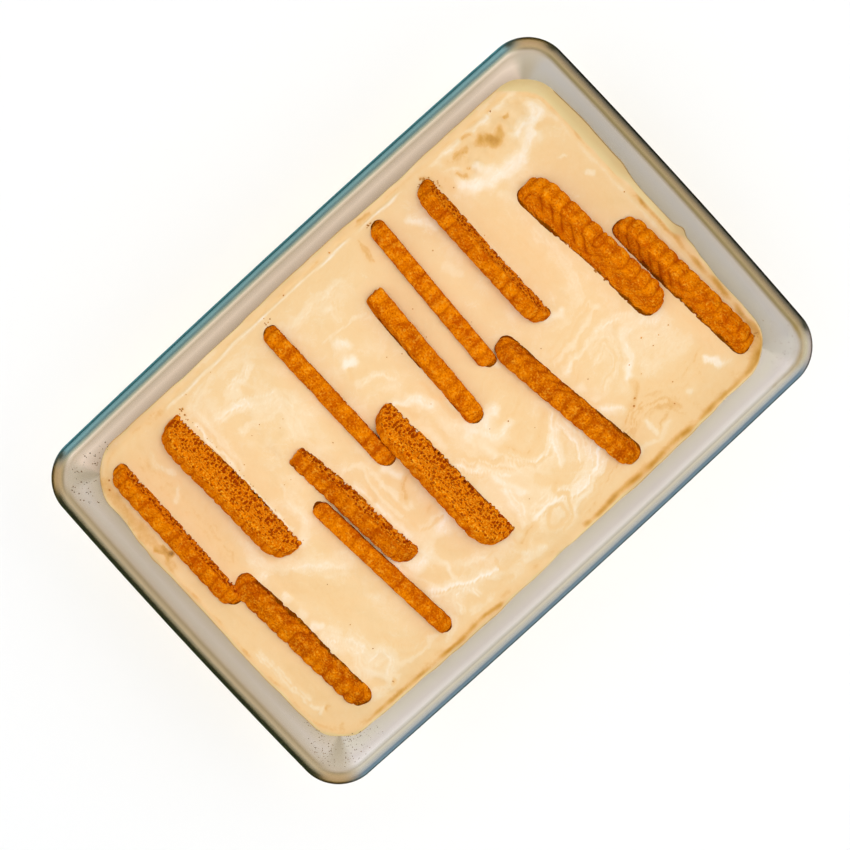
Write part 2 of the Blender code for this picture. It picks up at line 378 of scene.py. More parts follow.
def crumb_grain() -> bpy.types.NodeTree:
    """Make the shader group for baked crumb: a grain height and a mottle.

    Returns:
        The group, with inputs Place, Grain and Mottle and outputs Height and Tone.
    """
    tree = Tree(bpy.data.node_groups.new("baked_crumb", "ShaderNodeTree"))
    face = tree.tree.interface
    face.new_socket(name="Place", in_out="INPUT", socket_type="NodeSocketVector")
    face.new_socket(name="Grain", in_out="INPUT", socket_type="NodeSocketFloat").default_value = 1800
    face.new_socket(name="Mottle", in_out="INPUT", socket_type="NodeSocketFloat").default_value = 160
    face.new_socket(name="Height", in_out="OUTPUT", socket_type="NodeSocketFloat")
    face.new_socket(name="Tone", in_out="OUTPUT", socket_type="NodeSocketFloat")
    entry = tree.tree.nodes.new("NodeGroupInput")
    place = tree.out(entry, "Place")
    fine = tree.noise(place, tree.out(entry, "Grain"), detail=3.0)
    broad = tree.noise(place, tree.out(entry, "Mottle"), detail=3.0)
    end = tree.tree.nodes.new("NodeGroupOutput")
    tree.feed(end.inputs["Height"], fine)
    tree.feed(end.inputs["Tone"], tree.step(broad * 0.7 + fine * 0.3, 0.32, 0.68))
    return tree.tree


def oven_pits(tree: Tree, place: Field, up: Field, flat: Field, wider: float = 0.0) -> Field:
    """Return the holes in a biscuit's flat back: loose ones, and rows that grow towards the cream.

    The relief and the crust both ask for them, so that the dark spots, partly painted shade, lie in the holes.

    Args:
        tree: The tree that needs them.
        place: Place in the biscuit's own frame, in millimetres.
        up: Height over the cream, in millimetres.
        flat: 1 on the flat back and 0 off it.
        wider: How much wider each hole is drawn, as a share of its cell.

    Returns:
        0 on the crust and 1 in the middle of a hole.
    """
    bent = tree.vector("ADD", place, tree.join((tree.noise(place, 0.9) - 0.5) * 1.6, 0.0, (tree.noise(place, 0.7) - 0.5) * 1.6))
    near, own = tree.cells(bent, 0.84)
    loose = tree.step(near - own * 0.22 - wider, 0.29, 0.12) * tree.step(own, 0.25, 0.50)
    x, _, z = tree.split(tree.vector("ADD", tree.scaled(place, 0.6), tree.scaled(bent, 0.4)))
    gap, other = tree.cells(tree.join(x / 1.3, 0.37, z / 3.0), 1.0, 0.85)
    deep = tree.step(up, 7.0, 2.0)
    rows = tree.step(gap - deep * 0.06 - other * 0.14 - wider * 0.5, 0.29, 0.11) * tree.step(other + deep * 0.4, 0.2, 0.45)
    rows = rows * tree.step(up, 8.6, 6.0)
    return tree.math("MAXIMUM", loose * 0.5, rows) * flat


# ---------------------------------------------------------------- the dish in plan


@dataclass(frozen=True)
class Level:
    """One level of a wall: its inset from the rim's edge, its corner radius and its height, in mm."""

    inset: float
    corner: float
    height: float


@dataclass(frozen=True)
class DishPlan:
    """The dish's plan and wall, in millimetres."""

    length: float = 225.0
    width: float = 150.0
    bow: float = 1.2
    outer: tuple[Level, ...] = (
        Level(28.5, 9.0, 0.8),
        Level(27.0, 9.5, 0.0),
        Level(20.5, 13.5, 0.0),
        Level(17.5, 15.5, 0.7),
        Level(15.0, 16.5, 2.6),
        Level(13.2, 17.0, 6.0),
        Level(9.2, 17.2, 18.0),
        Level(5.4, 16.6, 33.0),
        Level(2.2, 15.0, 46.0),
        Level(1.3, 14.4, 49.4),
        Level(0.35, 14.3, 50.2),
        Level(0.0, 14.2, 51.8),
        Level(0.3, 14.0, 53.5),
        Level(1.1, 13.5, 54.6),
        Level(2.1, 12.7, 55.0),
        Level(3.2, 11.8, 54.8),
        Level(3.9, 11.2, 54.2),
    )
    inner: tuple[Level, ...] = (
        Level(4.3, 11.0, 53.2),
        Level(5.5, 11.4, 49.0),
        Level(7.6, 12.8, 41.0),
        Level(9.6, 14.0, 33.0),
        Level(12.2, 14.6, 22.0),
        Level(14.6, 14.6, 12.0),
        Level(16.2, 13.8, 8.2),
        Level(18.8, 12.4, 5.8),
        Level(22.5, 10.0, 5.0),
    )

    @property
    def corner_x(self) -> float:
        """Return where the rim's corners start along the length."""
        return self.length / 2 - self.bow - 14.2

    @property
    def corner_y(self) -> float:
        """Return where the rim's corners start along the width."""
        return self.width / 2 - self.bow - 14.2

    def halves(self, level: Level) -> tuple[float, float, float]:
        """Return a level's half length, half width and corner radius, before its sides bow out."""
        return (
            self.length / 2 - level.inset - self.bow,
            self.width / 2 - level.inset - self.bow,
            level.corner,
        )

    def bowed(self, level: Level, x: np.ndarray, y: np.ndarray) -> tuple[np.ndarray, np.ndarray]:
        """Bow a level's plan places outwards along its sides."""
        long_half, short_half, _ = self.halves(level)
        out_x = self.bow * (1 - (y / short_half) ** 2) * x / long_half
        out_y = self.bow * (1 - (x / long_half) ** 2) * y / short_half
        return x + out_x, y + out_y

    def outline(self, level: Level, corner_steps: int, side_steps: int) -> np.ndarray:
        """Return a level's closed outline.

        Args:
            level: The level.
            corner_steps: Steps round each corner.
            side_steps: Steps along each side.

        Returns:
            The plan places, one row each.
        """
        long_half, short_half, corner = self.halves(level)
        places = []
        for index, (sign_x, sign_y) in enumerate(((1, 1), (-1, 1), (-1, -1), (1, -1))):
            centre = np.array([sign_x * (long_half - corner), sign_y * (short_half - corner)])
            start = index * math.pi / 2
            for step in range(corner_steps + 1):
                angle = start + step / corner_steps * math.pi / 2
                places.append(centre + corner * np.array([math.cos(angle), math.sin(angle)]))
            turn = start + math.pi / 2
            along = np.array([-math.sin(turn), math.cos(turn)])
            run = 2 * ((long_half if index % 2 == 0 else short_half) - corner)
            last = places[-1]
            for step in range(1, side_steps):
                places.append(last + along * run * step / side_steps)
        plain = np.array(places)
        x, y = self.bowed(level, plain[:, 0], plain[:, 1])
        return np.stack([x, y], 1)

    def inner_at(self, height: float) -> Level:
        """Return the inner wall's level at a height, between the two that are named."""
        for upper, lower in zip(self.inner, self.inner[1:]):
            if lower.height <= height <= upper.height:
                share = (height - lower.height) / (upper.height - lower.height)
                inset = lower.inset + share * (upper.inset - lower.inset)
                corner = lower.corner + share * (upper.corner - lower.corner)
                return Level(inset, corner, height)
        return self.inner[-1]


PLAN = DishPlan()


# ---------------------------------------------------------------- finishes


def stops(*rows: tuple[float, float, float, float]) -> tuple:
    """Return ramp stops from rows of a place and a screen colour."""
    return tuple((row[0], linear(*row[1:])) for row in rows)


@dataclass(frozen=True)
class PressedGlass:
    """Clear pressed glass, whose up-facing faces carry painted reflection and painted shade: the rim's dark edge, its
    teal and grey lines, and the shaded floor seen through the wall, over a faint tint and residue of its own.

    Each ramp gives the tint at a distance in from the rim's outer edge, in millimetres. Only the faces that
    look up carry it, so that what shows from above passes it once; the rest of the glass is nearly clear.
    """

    # The ramps paint the rim's dark edge, its teal and grey lines and the shaded floor seen through the wall.
    corner: tuple = stops(
        (0.0, 123, 107, 71), (0.45, 42, 29, 2), (0.8, 107, 84, 43), (1.3, 181, 149, 105), (2.0, 189, 156, 117),
        (3.0, 193, 163, 121), (3.7, 172, 150, 120), (4.3, 206, 187, 170), (5.2, 206, 190, 173), (7.0, 199, 183, 164),
        (9.0, 199, 182, 162), (12.0, 191, 174, 150),
    )
    grey_corner: tuple = stops(
        (0.0, 61, 49, 39), (0.4, 72, 58, 42), (0.8, 180, 163, 158), (1.4, 202, 187, 178), (2.2, 206, 192, 166),
        (3.2, 199, 178, 147), (3.7, 186, 165, 138), (4.5, 208, 196, 190), (5.5, 214, 204, 200), (8.0, 209, 198, 190),
        (9.0, 207, 195, 184), (12.0, 205, 195, 180),
    )
    left_side: tuple = stops(
        (0.0, 43, 47, 31), (0.5, 54, 61, 41), (1.1, 39, 42, 22), (1.6, 58, 55, 35), (2.1, 130, 118, 93),
        (3.2, 200, 178, 148), (4.3, 179, 157, 126), (5.0, 207, 189, 173), (7.0, 223, 208, 201), (9.0, 222, 203, 185),
        (11.0, 185, 163, 144), (13.0, 173, 159, 138),
    )
    right_side: tuple = stops(
        (0.0, 21, 21, 13), (0.4, 7, 7, 3), (0.8, 24, 25, 17), (1.3, 111, 103, 93), (2.2, 155, 132, 102),
        (3.2, 185, 162, 124), (4.0, 156, 136, 94), (4.8, 206, 194, 188), (6.0, 204, 195, 194), (8.5, 205, 193, 182),
        (11.0, 190, 177, 163), (13.0, 176, 167, 153),
    )
    high_side: tuple = stops(
        (0.0, 86, 131, 145), (0.45, 75, 135, 148), (0.8, 16, 59, 68), (1.15, 111, 156, 165), (1.8, 134, 170, 178),
        (2.5, 96, 131, 139), (3.2, 176, 179, 162), (3.9, 249, 230, 213), (4.7, 216, 193, 173), (6.5, 249, 226, 213),
        (9.0, 223, 197, 180), (12.0, 178, 170, 144),
    )
    low_side: tuple = stops(
        (0.0, 49, 63, 61), (0.4, 60, 80, 84), (0.8, 120, 142, 157), (1.5, 114, 131, 151), (2.0, 172, 174, 179),
        (3.6, 221, 208, 192), (4.0, 199, 189, 179), (4.8, 239, 229, 230), (6.0, 225, 212, 212), (8.0, 227, 216, 206),
        (12.0, 229, 212, 207),
    )
    # painted dark reflection in the rim's outer edge near the corners
    dark_edge_reflection: Colour = linear(48, 50, 30)
    stain: Colour = linear(176, 140, 60)
    body: Colour = linear(240, 246, 244)
    shade_tint: Colour = (0.97, 0.965, 0.955)
    roughness: float = 0.0
    ior: float = 1.0
    gloss: float = 0.12

    def tint(self, finish: Finish) -> Field:
        """Return the tint all over the dish, mostly painted reflection and painted shade, squared, because glass takes
        its root at each face.
        """
        inset = finish.layer("inset")
        x, y, _ = finish.split(finish.here())
        over_x = finish.math("MAXIMUM", abs(x) - PLAN.corner_x * MM, 0.0)
        over_y = finish.math("MAXIMUM", abs(y) - PLAN.corner_y * MM, 0.0)
        share = over_y / (over_x + over_y + 1e-5)
        wander = finish.noise(finish.here(), 60.0, detail=3.0)
        depth = inset + (wander - 0.5) * 0.2
        # painted reflection and painted shade seen in the glass, chosen by side and corner
        low = finish.ramp(depth, self.low_side, 14.0)
        sides = finish.blend(
            finish.step(y, -0.02, 0.02),
            low,
            finish.ramp(depth, self.high_side, 14.0),
        )
        grey = finish.step(x, 0.0, 0.06) * finish.step(y, -0.03, -0.06)
        grey_corner = finish.ramp(depth, self.grey_corner, 14.0)
        colour = finish.blend(grey, finish.ramp(depth, self.corner, 14.0), grey_corner)
        left, right = finish.ramp(depth, self.left_side, 14.0), finish.ramp(depth, self.right_side, 14.0)
        ends = finish.blend(finish.step(x, -0.02, 0.02), left, right)
        colour = finish.blend(finish.step(share, 0.46, 0.0), colour, ends)
        colour = finish.blend(finish.step(share, 0.54, 1.0), colour, sides)
        # painted dark reflection: dark lobes near the rim's outer edge at each corner's ends
        swell = finish.math("EXPONENT", ((share - 0.80) / 0.10) ** 2 * -1.0) * finish.step(y, -0.02, 0.02)
        swell = swell + finish.math("EXPONENT", ((share - 0.16) / 0.12) ** 2 * -1.0)
        swell = swell * finish.step(over_x + over_y, 0.0, 0.002)
        near = finish.math("EXPONENT", ((inset - 1.3) / 0.9) ** 2 * -1.0)
        colour = finish.blend(swell * near * 0.85, colour, self.dark_edge_reflection)
        dirt = finish.step(x, 0.066, 0.1) * finish.step(y, -0.05, -0.066) * finish.step(wander, 0.42, 0.62)
        dirt = dirt * finish.math("EXPONENT", ((inset - 4.0) / 0.8) ** 2 * -1.0)
        colour = finish.blend(dirt, colour, self.stain)
        colour = finish.blend(finish.step(finish.layer("upward"), 0.0, 0.4), self.body, colour)
        return finish.vector("MULTIPLY", colour, colour)

    def material(self) -> bpy.types.Material:
        """Build the material."""
        finish = Finish("pressed_glass")
        finish.set(base_color=self.tint(finish), roughness=self.roughness, ior=self.ior, transmission_weight=1.0)
        finish.set(coat_weight=finish.step(finish.layer("inset"), 0.5, 1.8) * self.gloss, coat_roughness=0.02)
        clear = finish.add("ShaderNodeBsdfTransparent", {"Color": (*self.shade_tint, 1.0)})
        rays = finish.add("ShaderNodeLightPath")
        mix = finish.add("ShaderNodeMixShader")
        finish.tree.links.new(rays.outputs["Is Shadow Ray"], mix.inputs[0])
        finish.tree.links.new(finish.shader.outputs[0], mix.inputs[1])
        finish.tree.links.new(clear.outputs[0], mix.inputs[2])
        finish.tree.links.new(mix.outputs[0], finish.output.inputs["Surface"])
        return finish.material


@dataclass(frozen=True)
class SetCream:
    """Set yoghurt and caramel cream, marbled from tan to ivory, and browned where it dried."""

    tones: tuple = stops(
        (0.0, 146, 98, 12), (0.8, 198, 140, 46), (1.4, 219, 166, 84), (1.8, 230, 181, 112), (2.2, 238, 198, 140), (3.0, 239, 204, 151),
        (3.7, 243, 217, 176), (4.2, 247, 229, 202), (4.6, 249, 237, 216),
    )
    film: Colour = linear(228, 207, 151)
    roughness: float = 0.42

    def material(self) -> bpy.types.Material:
        """Build the material."""
        finish = Finish("marbled_cream")
        here = finish.here()
        cloud = finish.noise(here, 110.0, detail=3.0, warp=1.8)
        wisp = finish.noise(here, 420.0, detail=3.0, warp=1.2)
        thread = 1.0 - finish.step(abs(finish.noise(here, 150.0, detail=2.0, warp=3.0) - 0.5), 0.0, 0.05)
        tone = finish.layer("tone") + (cloud - 0.5) * 0.7 + (wisp - 0.5) * 0.55 + thread * (cloud - 0.40) * 0.9
        colour = finish.ramp(tone + 3.0, self.tones, 4.6)
        colour = finish.blend(finish.layer("film"), colour, self.film)
        finish.set(base_color=colour, roughness=self.roughness, specular_ior_level=0.22)
        grain = finish.noise(here, 900.0, detail=3.0)
        finish.bump(wisp * 0.6 + grain * 0.4, 0.00016, 0.6)
        return finish.material


@dataclass(frozen=True)
class CaramelCrust:
    """Baked caramel biscuit: orange, with painted highlights on its ribs, painted shade in its creases, and holes dark
    red-brown, partly their own colour and partly painted shade.
    """

    orange: Colour = linear(246, 138, 2)
    amber: Colour = linear(206, 93, 0)
    # pale is a painted highlight colour: glints on the bulges, the back's raised net and fine specks
    pale: Colour = linear(255, 180, 50)
    face: Colour = linear(248, 134, 0)
    brown: Colour = linear(128, 40, 0)
    # russet darkens holes, pores, creases and dimples: partly their own colour, partly painted shade
    russet_and_shade: Colour = linear(150, 35, 0)
    # olive along the cream line: partly damp crust, partly painted contact shade
    damp_and_shade_olive: Colour = linear(92, 52, 0)
    roughness: float = 0.58

    def material(self, grain: bpy.types.NodeTree) -> bpy.types.Material:
        """Build the material.

        Args:
            grain: The shader group for baked crumb.

        Returns:
            The material.
        """
        finish = Finish("caramel_crust")
        place, up, flat = finish.layer_vector("place"), finish.layer("up"), finish.layer("flat")
        dip_shade = finish.layer("dip_shade")
        crumb = finish.group(grain, place=place, grain=1.6, mottle=0.26)
        tone, fine = finish.out(crumb, "Tone"), finish.out(crumb, "Height")
        colour = finish.blend(tone, self.amber, self.orange)
        colour = finish.blend(flat * 0.6, colour, self.face)
        colour = finish.blend(finish.layer("baked") * (1.5 - tone), colour, self.brown)
        # painted shade in the dips between bulges and ribs
        colour = finish.blend(dip_shade**2 * 0.20 * (1.0 - flat), colour, self.brown)
        # painted highlights: glints mid-bulge, a pale net on the back and fine pale specks
        glint = finish.step(finish.noise(place, 0.95, detail=3.0), 0.50, 0.66) * (1.0 - dip_shade) ** 2 * (1.0 - flat)
        net_highlight = finish.step(fine, 0.47, 0.64) * flat
        colour = finish.blend(glint * 0.42 + net_highlight * 0.62 + finish.step(fine, 0.56, 0.70) * 0.36, colour, self.pale)
        # small pores, darkened partly by their own colour and partly by painted shade
        near, own = finish.cells(place, 1.9)
        pores = finish.step(near, 0.36, 0.16) * finish.step(own, 0.35, 0.6)
        pores = pores * (flat * 0.75 + 0.25)
        # the cream line's olive band: partly damp crust, partly painted contact shade
        ragged = (tone - 0.5) * 1.2 + (finish.noise(place, 0.4) - 0.5) * 3.0
        low = finish.step(up + ragged, 2.0, 0.3)
        pits = finish.step(oven_pits(finish, place, up, flat, 0.07), 0.0, 0.6)
        # dark red-brown in holes, pores, creases and fine dimples: partly their own colour, partly painted shade
        dark = finish.math("MAXIMUM", pits * 0.80, pores * 0.5)
        dark = finish.math("MAXIMUM", dark, finish.layer("crease_shade") * 0.46)
        dark = finish.math("MAXIMUM", dark, finish.step(fine, 0.46, 0.34) * 0.34)
        colour = finish.blend(low * (0.80 - flat * 0.4), colour, self.damp_and_shade_olive)
        colour = finish.blend(dark, colour, self.russet_and_shade)
        finish.set(base_color=colour, roughness=self.roughness, specular_ior_level=0.0)
        finish.bump(fine - pores * 0.6 - dip_shade * 0.3, 0.00042, 1.0)
        return finish.material


@dataclass(frozen=True)
class Crumb:
    """Loose crumbs and baked-on specks."""

    name: str = "loose_crumb"
    light: Colour = linear(226, 160, 66)
    dark: Colour = linear(158, 96, 24)

    def material(self, grain: bpy.types.NodeTree) -> bpy.types.Material:
        """Build the material.

        Args:
            grain: The shader group for baked crumb.

        Returns:
            The material.
        """
        finish = Finish(self.name)
        crumb = finish.group(grain, place=finish.here(), grain=2600.0, mottle=420.0)
        finish.set(base_color=finish.blend(finish.out(crumb, "Tone"), self.dark, self.light), roughness=0.7)
        finish.bump(finish.out(crumb, "Height"), 0.0001, 0.6)
        return finish.material


# ---------------------------------------------------------------- shapes


class Ripples:
    """A smooth random surface, made of plane waves."""

    def __init__(self, seed: int, wave: float, count: int = 28) -> None:
        """Draw the waves.

        Args:
            seed: Start of the random numbers.
            wave: Middle wavelength, in the units of the places asked for.
            count: Number of waves.
        """
        draw = np.random.default_rng(seed)
        angle = draw.uniform(0, 2 * math.pi, count)
        pace = 2 * math.pi / (wave * draw.uniform(0.6, 1.7, count))
        self.pace = np.stack([np.cos(angle) * pace, np.sin(angle) * pace])
        self.phase = draw.uniform(0, 2 * math.pi, count)

    def at(self, x: np.ndarray, y: np.ndarray) -> np.ndarray:
        """Return the surface's height, about -1 to 1, at each place."""
        waves = np.sin(np.multiply.outer(x, self.pace[0]) + np.multiply.outer(y, self.pace[1]) + self.phase)
        return waves.sum(-1) / math.sqrt(len(self.phase)) * 0.9


def smooth(value: np.ndarray, low: float, high: float) -> np.ndarray:
    """Return 0 at `low`, 1 at `high` and a smooth rise between them."""
    share = np.clip((value - low) / (high - low), 0, 1)
    return share * share * (3 - 2 * share)


def new_piece(name: str, places: np.ndarray, faces: list, material: bpy.types.Material | None) -> bpy.types.Object:
    """Make a smooth-shaded piece.

    Args:
        name: The piece's name.
        places: Its points, in metres.
        faces: Its faces, as lists of point numbers.
        material: What it wears.

    Returns:
        The object.
    """
    mesh = bpy.data.meshes.new(name)
    mesh.from_pydata(places.tolist(), [], faces)
    shape = bmesh.new()
    shape.from_mesh(mesh)
    bmesh.ops.recalc_face_normals(shape, faces=shape.faces)
    shape.to_mesh(mesh)
    shape.free()
    mesh.shade_smooth()
    if material:
        mesh.materials.append(material)
    piece = bpy.data.objects.new(name, mesh)
    bpy.context.scene.collection.objects.link(piece)
    return piece


def keep_layer(piece: bpy.types.Object, name: str, values: np.ndarray) -> None:
    """Keep a number, or a vector, for each of a piece's points."""
    kind, key = ("FLOAT", "value") if values.ndim == 1 else ("FLOAT_VECTOR", "vector")
    layer = piece.data.attributes.new(name, kind, "POINT")
    layer.data.foreach_set(key, np.ascontiguousarray(values, dtype=np.float32).ravel())


def ring_faces(rings: int, around: int) -> list:
    """Return the quads between closed rings of points."""
    faces = []
    for ring in range(rings - 1):
        low, high = ring * around, (ring + 1) * around
        for step in range(around):
            after = (step + 1) % around
            faces.append((low + step, low + after, high + after, high + step))
    return faces


def rounded_profile(levels: tuple[Level, ...], pace: float) -> list[Level]:
    """Draw a smooth curve through a wall's levels.

    Args:
        levels: The levels, in order.
        pace: Longest step along the curve, in millimetres.

    Returns:
        The levels of the curve, the first and last as given.
    """
    knots = np.array([(level.inset, level.corner, level.height) for level in levels])
    padded = np.vstack([2 * knots[0] - knots[1], knots, 2 * knots[-1] - knots[-2]])
    out = [levels[0]]
    for index in range(1, len(padded) - 2):
        before, start, end, after = padded[index - 1 : index + 3]
        chord = math.hypot(end[0] - start[0], end[2] - start[2])
        steps = max(3, math.ceil(chord / pace))
        near = math.sqrt(max(chord, 1e-6))
        prior = math.sqrt(math.hypot(*(start - before)[[0, 2]]))
        later = math.sqrt(math.hypot(*(after - end)[[0, 2]]))
        slope_in = (start - before) / prior - (end - before) / (prior + near) + (end - start) / near
        slope_out = (end - start) / near - (after - start) / (near + later) + (after - end) / later
        for step in range(1, steps + 1):
            t = step / steps
            point = (
                (2 * t**3 - 3 * t**2 + 1) * start
                + (t**3 - 2 * t**2 + t) * slope_in * near
                + (-2 * t**3 + 3 * t**2) * end
                + (t**3 - t**2) * slope_out * near
            )
            out.append(Level(max(point[0], 0.0), point[1], float(np.clip(point[2], 0.0, 55.0))))
    return out


@dataclass
class Dish:
    """The clear pressed-glass dish."""

    plan: DishPlan = PLAN
    corner_steps: int = 22
    side_steps: int = 26
    pace: float = 1.2

    def build(self, glass: bpy.types.Material) -> bpy.types.Object:
        """Build the dish from under its foot over the rim to its inner floor.

        Args:
            glass: The glass material.

        Returns:
            The piece.
        """
        levels = rounded_profile(self.plan.outer + self.plan.inner, self.pace)
        rings = []
        for level in levels:
            plan = self.plan.outline(level, self.corner_steps, self.side_steps)
            rings.append(np.column_stack([plan, np.full(len(plan), level.height)]))
        around = len(rings[0])
        places = np.vstack([*rings, [[0, 0, levels[0].height]], [[0, 0, levels[-1].height]]])
        faces = ring_faces(len(rings), around)
        under, top = len(places) - 2, len(places) - 1
        last = (len(rings) - 1) * around
        for step in range(around):
            after = (step + 1) % around
            faces.append((under, after, step))
            faces.append((top, last + step, last + after))
        piece = new_piece("glass_dish", places * MM, faces, glass)
        insets = np.repeat([level.inset for level in levels], around)
        keep_layer(piece, "inset", np.append(insets, [levels[0].inset, levels[-1].inset]))
        edge = int(np.argmin([level.inset for level in levels]))
        upward = np.repeat([float(index > edge) for index in range(len(levels))], around)
        keep_layer(piece, "upward", np.append(upward, [0.0, 1.0]))
        return piece


# ---------------------------------------------------------------- biscuits


@dataclass(frozen=True)
class Stand:
    """How one biscuit stands on its long side in the cream.

    x, y   plan place of the middle of its top edge, in millimetres
    rise   height of that middle over the cream, in millimetres
    yaw    turn from the Y axis, anticlockwise seen from above
    lean   tilt from upright: over 0 the flat back looks up, under 0 the patterned front does
    pitch  how far the +Y end is raised
    back   +1 where the back is on the +X side, -1 where the front is
    whole  length left where the +Y end is snapped off, in millimetres
    lip    height of the cream that clings to its upper side, in millimetres
    long, thick, corner  its length, thickness and corner radius, in millimetres
    blunt  how far its ends draw in at the cream, at its faces
    wrap   how far the back's holes go over its edge
    crisp  how sharp its creases are
    baked  how much browner it is than the palest one
    """

    x: float
    y: float
    rise: float
    yaw: float
    lean: float
    pitch: float
    back: int
    whole: float = 99.0
    lip: float = 0.25
    long: float = 61.0
    thick: float = 6.2
    corner: float = 8.0
    blunt: float = 2.4
    wrap: float = 0.0
    crisp: float = 1.0
    baked: float = 0.0

    def matrix(self) -> Matrix:
        """Return where the biscuit stands, from millimetres in its own frame to metres in the dish's."""
        turn = -90 * self.back + self.yaw
        angles = [math.radians(a) for a in (self.lean, self.pitch * self.back, turn)]
        place = Vector((self.x, self.y, CREAM_LEVEL + self.rise)) * MM
        return Matrix.Translation(place) @ Euler(angles, "XYZ").to_matrix().to_4x4() @ Matrix.Scale(MM, 4)


CREAM_LEVEL = 33.0

STANDS = (
    Stand(-93.9, 27.0, 5.4, -0.3, 19, 0.8, 1, long=62.8, crisp=0.8),
    Stand(-72.8, 26.6, 8.9, 1.8, 35, 0, 1, lip=0.4, corner=9.5, blunt=0.8, wrap=2.2, baked=0.02),
    Stand(-87.2, -28.1, 3.8, 3.5, -35, 0.5, -1, long=63.6, thick=6.5, blunt=3.2, crisp=0.9, baked=0.2),
    Stand(-22.7, 27.1, 4.5, 0.3, 3, 0, 1, long=64.4, blunt=4.6, crisp=0.7, baked=0.11),
    Stand(-43.9, -1.6, 4.5, 4.2, 28, -4.0, 1, whole=53.4, long=62.4, thick=6.8, blunt=2.0, baked=0.13),
    Stand(-48.3, -27.9, 4.8, 4.3, -4, 0, -1, long=64.6, thick=5.8, blunt=5.0, crisp=0.8, baked=0.11),
    Stand(-17.7, -18.0, 9.3, 0.3, 37, -2.5, 1, corner=10.5, blunt=0.6, wrap=2.6, crisp=0.8, baked=0.02),
    Stand(11.6, 17.7, 5.8, -2.2, -12, 1.5, 1, whole=57.3, long=64.6, thick=6.5, blunt=4.6, crisp=0.5, baked=0.11),
    Stand(26.4, 28.8, 4.6, -2.6, 5, 0, 1, long=64.8, thick=6.4, blunt=4.8, baked=0.02),
    Stand(46.2, 27.8, 7.8, 0, 23, 0, 1, long=62.6, thick=5.9, corner=9.0, blunt=3.0, baked=0.06),
    Stand(33.8, -29.2, 5.6, 7.4, -30, 0.5, -1, long=63.0, crisp=0.7, baked=0.18),
    Stand(81.4, 4.2, 8.9, 4.3, -32, 2.0, 1, corner=9.0, thick=6.5, blunt=2.6, long=62.4, crisp=1.3, baked=0.02),
    Stand(94.7, -26.5, 6.1, 3.4, -32, 1.0, 1, long=62.8, thick=6.5, crisp=0.9),
)


